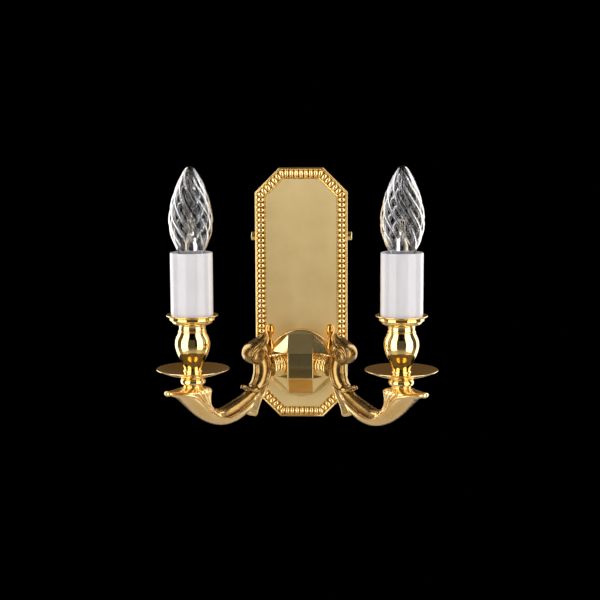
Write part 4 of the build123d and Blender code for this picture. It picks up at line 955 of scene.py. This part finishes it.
# ------------------------------------------------------------------ turned parts
# Outlines as (radius, z), once round each part; a point given twice is a corner.
SEAT_RING = [
    (5.05, -61.0), (8.5, -61.0), (8.5, -61.0), (9.2, -60.6), (9.65, -59.4), (9.7, -58.8),
    (9.5, -57.8), (8.9, -57.0), (8.4, -56.7), (8.4, -56.7), (8.2, -56.6), (5.05, -56.6)]
DRIP_PAN = [
    (5.05, -56.6), (8.4, -56.6), (8.4, -56.6), (9.4, -56.2), (10.0, -55.2), (10.0, -55.2),
    (14.0, -54.2), (19.5, -52.7), (24.0, -51.0), (27.0, -49.7), (28.1, -49.35), (28.1, -49.35),
    (28.3, -49.1), (28.2, -48.8), (27.8, -48.7), (27.8, -48.7), (24.0, -50.1), (19.0, -51.7),
    (14.0, -52.9), (10.0, -53.2), (10.0, -53.2), (5.05, -53.2)]
VASE = [
    (5.05, -53.2), (6.8, -53.2), (6.8, -53.2), (6.9, -52.9), (6.9, -52.2), (6.7, -51.9),
    (6.7, -51.9), (7.3, -51.5), (7.6, -50.8), (7.3, -50.0), (6.75, -49.6), (6.75, -49.6),
    (6.9, -49.0), (7.7, -46.6), (9.35, -42.3), (11.75, -37.5), (13.2, -32.8), (13.6, -29.0),
    (12.9, -24.8), (11.2, -21.1), (10.5, -19.7), (10.5, -19.7), (10.9, -19.4), (11.0, -18.9),
    (10.6, -18.5), (10.6, -18.5), (10.3, -18.0), (10.2, -16.5), (10.5, -14.6), (10.9, -14.0),
    (10.9, -14.0), (5.05, -14.0)]
CANDLE_CUP = [
    (5.05, -14.0), (11.4, -14.0), (11.4, -14.0), (12.6, -13.9), (14.3, -13.2), (15.4, -12.2),
    (15.8, -11.2), (15.8, -11.2), (16.3, -11.0), (17.2, -10.5), (17.5, -9.7), (17.2, -8.9),
    (17.2, -8.9), (17.7, -8.5), (18.8, -7.8), (20.0, -7.1), (20.0, -7.1), (20.2, -6.8),
    (20.1, -6.5), (19.8, -6.4), (19.8, -6.4), (18.2, -7.2), (17.0, -8.0), (17.0, -8.0),
    (5.05, -8.0)]
SLEEVE = [
    (15.0, -8.0), (16.4, -8.0), (16.4, -8.0), (16.4, 41.2), (16.4, 41.2), (16.35, 41.6),
    (16.15, 41.88), (15.75, 42.0), (15.35, 41.88), (15.1, 41.5), (15.0, 41.0), (15.0, 41.0)]


class SCONCE_OT_turnings(bpy.types.Operator):
    """Turns the seat rings, drip pans, vases, candle cups and candle sleeves."""

    bl_idname = "sconce.turnings"
    bl_label = "Build turned parts"

    def execute(self, context):
        turned = {"seat_ring": SEAT_RING, "drip_pan": DRIP_PAN, "vase": VASE,
                  "candle_cup": CANDLE_CUP, "candle_sleeve": SLEEVE}
        for name, side in SIDES:
            for node, outline in turned.items():
                label = f"turned_{node}_{name}"
                piece = add_object(label, lathe_mesh(label, rounded_profile(outline, 5),
                                                     candle_foot(side), segments=160))
                if node == "candle_sleeve":
                    set_materials(piece, "candle white")
                    place(piece, f"candle_sleeve_{name}", "sleeve_white", f"{node}_{name}")
                else:
                    set_materials(piece, "polished brass")
                    place(piece, "fixture", "polished_brass", f"{node}_{name}")
        return {"FINISHED"}


# ------------------------------------------------------------------ bulbs
# Outlines as (radius, z) in millimetres above the foot; the wires run as (x, y, z).
BULB_OUTLINE = [
    (6.5, 29.0), (6.5, 33.0), (7.3, 35.2), (10.2, 42.0), (14.4, 51.0), (16.5, 58.5), (17.2, 66.5),
    (16.4, 74.4), (14.5, 83.0), (11.6, 91.4), (8.0, 99.3), (5.4, 103.8), (3.5, 106.4),
    (1.9, 107.5), (0.0, 107.8)]
MOUNT = [
    (0.0, 28.9), (5.6, 29.0), (5.6, 29.0), (5.2, 31.0), (4.5, 36.0), (4.4, 44.0), (4.4, 49.5),
    (4.0, 52.0), (2.9, 54.4), (2.4, 56.0), (2.3, 57.4), (1.9, 58.0), (0.0, 58.0)]
LEAD_WIRES = [
    [(-1.5, 0, 50.0), (-1.55, 0, 57.5), (-1.7, 0, 62.0), (-2.6, -0.2, 66.6)],
    [(1.5, 0, 50.0), (1.55, 0, 57.5), (1.7, 0, 62.0), (2.6, -0.2, 66.6)],
    [(0, 1.1, 50.0), (0, 1.1, 62.0), (0.2, 1.0, 68.0), (0.3, 0.3, 72.4)]]
LEAD_RADIUS = 0.28
COIL_TURNS, COIL_HALF, COIL_RADIUS, COIL_WIRE = 20, 2.7, 0.34, 0.13
COIL_PLACE = (-0.2, 66.8)  # y and z of the coil's middle line

# Heights above the foot and lengths in metres, as the node tree takes them.
FLUTES_START, FLUTES_END = 0.042, 0.1070
LOW_FADE, HIGH_FADE = 0.012, 0.016
BULB_MIDDLE = 0.066
VALLEY_SHARPNESS = 1.25


def flute_tree():
    """Geometry Nodes: presses twisted flutes with sharp valleys into a turned glass."""
    tree, given = shape_tree("Twisted flutes",
                             ("Foot", "Flutes", "Depth", "Twist", "Start", "End"))
    at = add_node(tree, "GeometryNodeInputPosition").outputs[0]
    spot = add_node(tree, "ShaderNodeVectorMath", {0: at, 1: given["Foot"]},
                    operation="SUBTRACT").outputs[0]
    x, y, z = add_node(tree, "ShaderNodeSeparateXYZ", {0: spot}).outputs
    wound = ("ADD", ("ARCTAN2", y, x), ("MULTIPLY", z, given["Twist"]))
    wave = ("ABSOLUTE", ("SINE", ("MULTIPLY", wound, ("MULTIPLY", given["Flutes"], 0.5))))
    valley = ("POWER", ("SUBTRACT", 1.0, wave), VALLEY_SHARPNESS)
    starting, ending = (add_node(
        tree, "ShaderNodeMapRange", {"Value": z, "From Min": low, "From Max": high},
        interpolation_type="SMOOTHSTEP").outputs["Result"]
        for low, high in ((given["Start"], ("ADD", given["Start"], LOW_FADE)),
                          (("SUBTRACT", given["End"], HIGH_FADE), given["End"])))
    fades = ("MULTIPLY", starting, ("SUBTRACT", 1.0, ending))
    depth = ("MULTIPLY", ("MULTIPLY", valley, given["Depth"]), fades)
    level = add_node(tree, "ShaderNodeVectorMath", {0: spot, 1: (1.0, 1.0, 0.0)},
                     operation="MULTIPLY").outputs[0]
    outwards = add_node(tree, "ShaderNodeVectorMath", {0: level},
                        operation="NORMALIZE").outputs[0]
    inwards = add_node(tree, "ShaderNodeVectorMath", {
        0: outwards, "Scale": ("MULTIPLY", depth, -1.0)}, operation="SCALE")
    pushed = add_node(tree, "GeometryNodeSetPosition",
                      {"Geometry": given["Geometry"], "Offset": inwards.outputs[0]})
    end_tree(tree, pushed.outputs["Geometry"], given)
    return tree


class SCONCE_OT_bulbs(bpy.types.Operator):
    """Builds the twisted clear bulbs with their glass mounts, lead wires and filaments."""

    bl_idname = "sconce.bulbs"
    bl_label = "Build bulbs"

    def execute(self, context):
        sizes = context.scene.sconce_sizes
        tree = flute_tree()
        for name, side in SIDES:
            foot = candle_foot(side)
            label = f"twisted_bulb_{name}"
            shell = add_object(label, lathe_mesh(label, rounded_profile(BULB_OUTLINE, 12), foot,
                                                 segments=288, closed=False))
            run_tree(shell, tree, {
                "Foot": tuple(foot), "Flutes": float(sizes.flute_count),
                "Depth": sizes.flute_depth, "Twist": sizes.flute_twist, "Start": FLUTES_START,
                "End": FLUTES_END, "Finish": MATERIALS["bulb glass"]})
            # The glass is open at its neck, so its faces are turned outwards by hand.
            middle = foot + Vector((0, 0, BULB_MIDDLE))
            with editing(shell.data) as bm:
                for face in bm.faces:
                    if (face.calc_center_median() - middle).dot(face.normal) < 0:
                        face.normal_flip()
            wall = shell.modifiers.new("Wall", "SOLIDIFY")
            wall.thickness = sizes.glass_wall
            wall.offset = -1.0
            baked_mesh(shell)
            shell.data.shade_smooth()
            mount = add_object(f"glass_mount_{name}", lathe_mesh(
                f"glass_mount_{name}", rounded_profile(MOUNT, 5), foot, segments=64))
            lines = [[foot + Vector(p) * MM for p in spline(
                np.array([line[0], *line, line[-1]], float), 8)] for line in LEAD_WIRES]
            leads = add_object(f"lead_wires_{name}", join_meshes(f"lead_wires_{name}", [
                tube_mesh("lead", line, LEAD_RADIUS * MM, 12) for line in lines]))
            leads.data.shade_smooth()
            coil = []
            for share in (i / (12 * COIL_TURNS) for i in range(12 * COIL_TURNS + 1)):
                turn = 2 * pi * COIL_TURNS * share
                coil.append(foot + Vector((COIL_HALF * (2 * share - 1), COIL_PLACE[0]
                                           + COIL_RADIUS * cos(turn),
                                           COIL_PLACE[1] + COIL_RADIUS * sin(turn))) * MM)
            filament = add_object(f"coiled_filament_{name}", tube_mesh(
                f"coiled_filament_{name}", coil, COIL_WIRE * MM, 6))
            for piece, material, slot, node in (
                    (shell, "bulb glass", "bulb_glass", "bulb_glass"),
                    (mount, "mount glass", "mount_glass", "bulb_stem"),
                    (leads, "nickel wire", "nickel_wire", "bulb_leads"),
                    (filament, "tungsten wire", "tungsten", "bulb_filament")):
                set_materials(piece, material)
                place(piece, f"bulb_{name}", slot, f"{node}_{name}")
        return {"FINISHED"}


# ------------------------------------------------------------------ stage
PLAIN_LIGHT = (1.0, 0.985, 0.96)
STUDIO_MIDDLE = Vector((0, -0.08, 0))
FLOOR_LEVEL = -0.47
FLOOR_CORNERS = [(-1.6, -2.4), (1.6, -2.4), (1.6, 0.40), (-1.6, 0.40)]
CAMERA_BEARING = 2.8
LOW = FLOOR_LEVEL + 0.01  # where the lights that stand on the floor begin
# Upright lights as bearing (on each side), spread, bottom, top, distance and brightness. The
# softboxes give the brass its bright bands, and the card the dim one between them.
SIDE_LIGHTS = {
    "front_softbox": (53, 44, LOW, 1.30, 0.75, 3.1),
    "back_softbox": (129, 42, LOW, 0.82, 0.75, 2.6),
    "side_card": (94, 28, LOW, 0.90, 0.78, 0.09),
}
# Cards behind the object: what its edges mirror from there is warm and dim, in place of black.
BACK_CARDS = {
    "low_back_card": (62, LOW, -0.12, 0.80, 0.45, (1.0, 0.82, 0.60)),
    "back_card": (50, -0.10, 0.95, 0.80, 0.11, (1.0, 0.66, 0.38)),
}
# Lights as place, width, height and brightness. The fill lightens what is matt, and no metal
# mirrors it.
LEVEL_LIGHTS = {
    "overhead_softbox": ((0.0, -0.3, 1.35), 1.6, 1.6, 0.14),
    "overhead_fill": ((0.0, -0.1, 1.30), 1.6, 1.6, 1.5),
}
CAMERA_CARD = ((0.0, -1.6, 0.2), 1.2, 1.2, 0.08)  # behind the camera, turned to the object


def area_light(name, where, width, height, radiance, colour=PLAIN_LIGHT):
    """A rectangular studio light of even brightness that faces down, hidden from the camera."""
    data = bpy.data.lights.new(name, "AREA")
    data.shape = "RECTANGLE"
    data.size, data.size_y = width, height
    data.energy = radiance * pi * width * height
    data.color = colour
    light = add_object(name, data)
    light.location = where
    light.visible_camera = False
    light.visible_transmission = False
    return light


def softbox(name, bearing, spread, bottom, top, distance, radiance, colour=PLAIN_LIGHT):
    """An upright studio light round the object.

    The bearing is turned from the camera's side of the object, to the left when negative, and the
    spread is the angle that the light fills. Those behind the object don't show through its glass.
    """
    away = Vector((sin(radians(bearing)), -cos(radians(bearing)), 0)) * distance
    light = area_light(name, STUDIO_MIDDLE + away + Vector((0, 0, (bottom + top) / 2)),
                       2 * distance * tan(radians(spread / 2)), top - bottom, radiance, colour)
    light.rotation_euler = (-away).to_track_quat("-Z", "Y").to_euler()
    light.visible_transmission = abs(bearing) < 160


class SCONCE_OT_stage(bpy.types.Operator):
    """Sets up the dark studio, its lights, its floor and the camera."""

    bl_idname = "sconce.stage"
    bl_label = "Set up stage"

    def execute(self, context):
        stage = context.scene.sconce_stage
        scene = context.scene
        scene.view_settings.view_transform = "Standard"
        scene.view_settings.look = "None"
        scene.view_settings.exposure = 0.0
        scene.view_settings.gamma = 1.0
        level = cos(stage.elevation)
        ahead = Vector((-sin(stage.azimuth) * level, cos(stage.azimuth) * level,
                        -sin(stage.elevation)))
        right = Vector((cos(stage.azimuth), sin(stage.azimuth), 0))
        up = right.cross(ahead)
        data = bpy.data.cameras.new("studio_camera")
        data.lens = stage.lens
        data.sensor_width = 36.0
        data.clip_start = 0.05
        data.clip_end = 20.0
        camera = add_object("studio_camera", data)
        camera.matrix_world = Matrix((
            right * cos(stage.roll) + up * sin(stage.roll),
            up * cos(stage.roll) - right * sin(stage.roll), -ahead)).transposed().to_4x4()
        camera.location = Vector(stage.target) - ahead * stage.distance
        scene.camera = camera

        world = bpy.data.worlds.new("dark_studio")
        world.use_nodes = True
        world.node_tree.nodes["Background"].inputs["Color"].default_value = (0, 0, 0, 1)
        scene.world = world

        floor = add_object("studio_floor", mesh_from(
            "studio_floor", [(x, y, FLOOR_LEVEL) for x, y in FLOOR_CORNERS], [(0, 1, 2, 3)]))
        set_materials(floor, "floor paper")

        for _name, side in SIDES:
            for name, (bearing, *shape) in SIDE_LIGHTS.items():
                softbox(f"{name}_{side}", side * bearing + CAMERA_BEARING, *shape)
        overhead = {name: area_light(name, *shape) for name, shape in LEVEL_LIGHTS.items()}
        overhead["overhead_fill"].visible_glossy = False
        for name, shape in BACK_CARDS.items():
            softbox(name, 180 + CAMERA_BEARING, *shape)
        card = area_light("camera_card", *CAMERA_CARD)
        card.rotation_euler = (radians(90), 0, 0)
        return {"FINISHED"}


class SCONCE_PT_panel(bpy.types.Panel):
    """Lists the light's settings and its building steps."""

    bl_idname = "SCONCE_PT_panel"
    bl_label = "Wall sconce"
    bl_space_type = "VIEW_3D"
    bl_region_type = "UI"
    bl_category = "Sconce"

    def draw(self, context):
        scene = context.scene
        for group in (scene.sconce_sizes, scene.sconce_finishes, scene.sconce_stage):
            column = self.layout.column(align=True)
            for name in group.__annotations__:
                column.prop(group, name)
        for step in STEPS:
            self.layout.operator(step.bl_idname)


STEPS = (SCONCE_OT_finishes, SCONCE_OT_cover, SCONCE_OT_boss, SCONCE_OT_arms,
         SCONCE_OT_turnings, SCONCE_OT_bulbs, SCONCE_OT_stage)
GROUPS = (SconceSizes, SconceFinishes, SconceStage)


def register():
    for group in (*GROUPS, *STEPS, SCONCE_PT_panel):
        bpy.utils.register_class(group)
    bpy.types.Scene.sconce_sizes = PointerProperty(type=SconceSizes)
    bpy.types.Scene.sconce_finishes = PointerProperty(type=SconceFinishes)
    bpy.types.Scene.sconce_stage = PointerProperty(type=SconceStage)


def unregister():
    del bpy.types.Scene.sconce_stage, bpy.types.Scene.sconce_finishes
    del bpy.types.Scene.sconce_sizes
    for group in (SCONCE_PT_panel, *reversed(STEPS), *reversed(GROUPS)):
        bpy.utils.unregister_class(group)


def main():
    register()
    for step in STEPS:
        group, name = step.bl_idname.split(".")
        getattr(getattr(bpy.ops, group), name)()


if __name__ == "__main__":
    main()
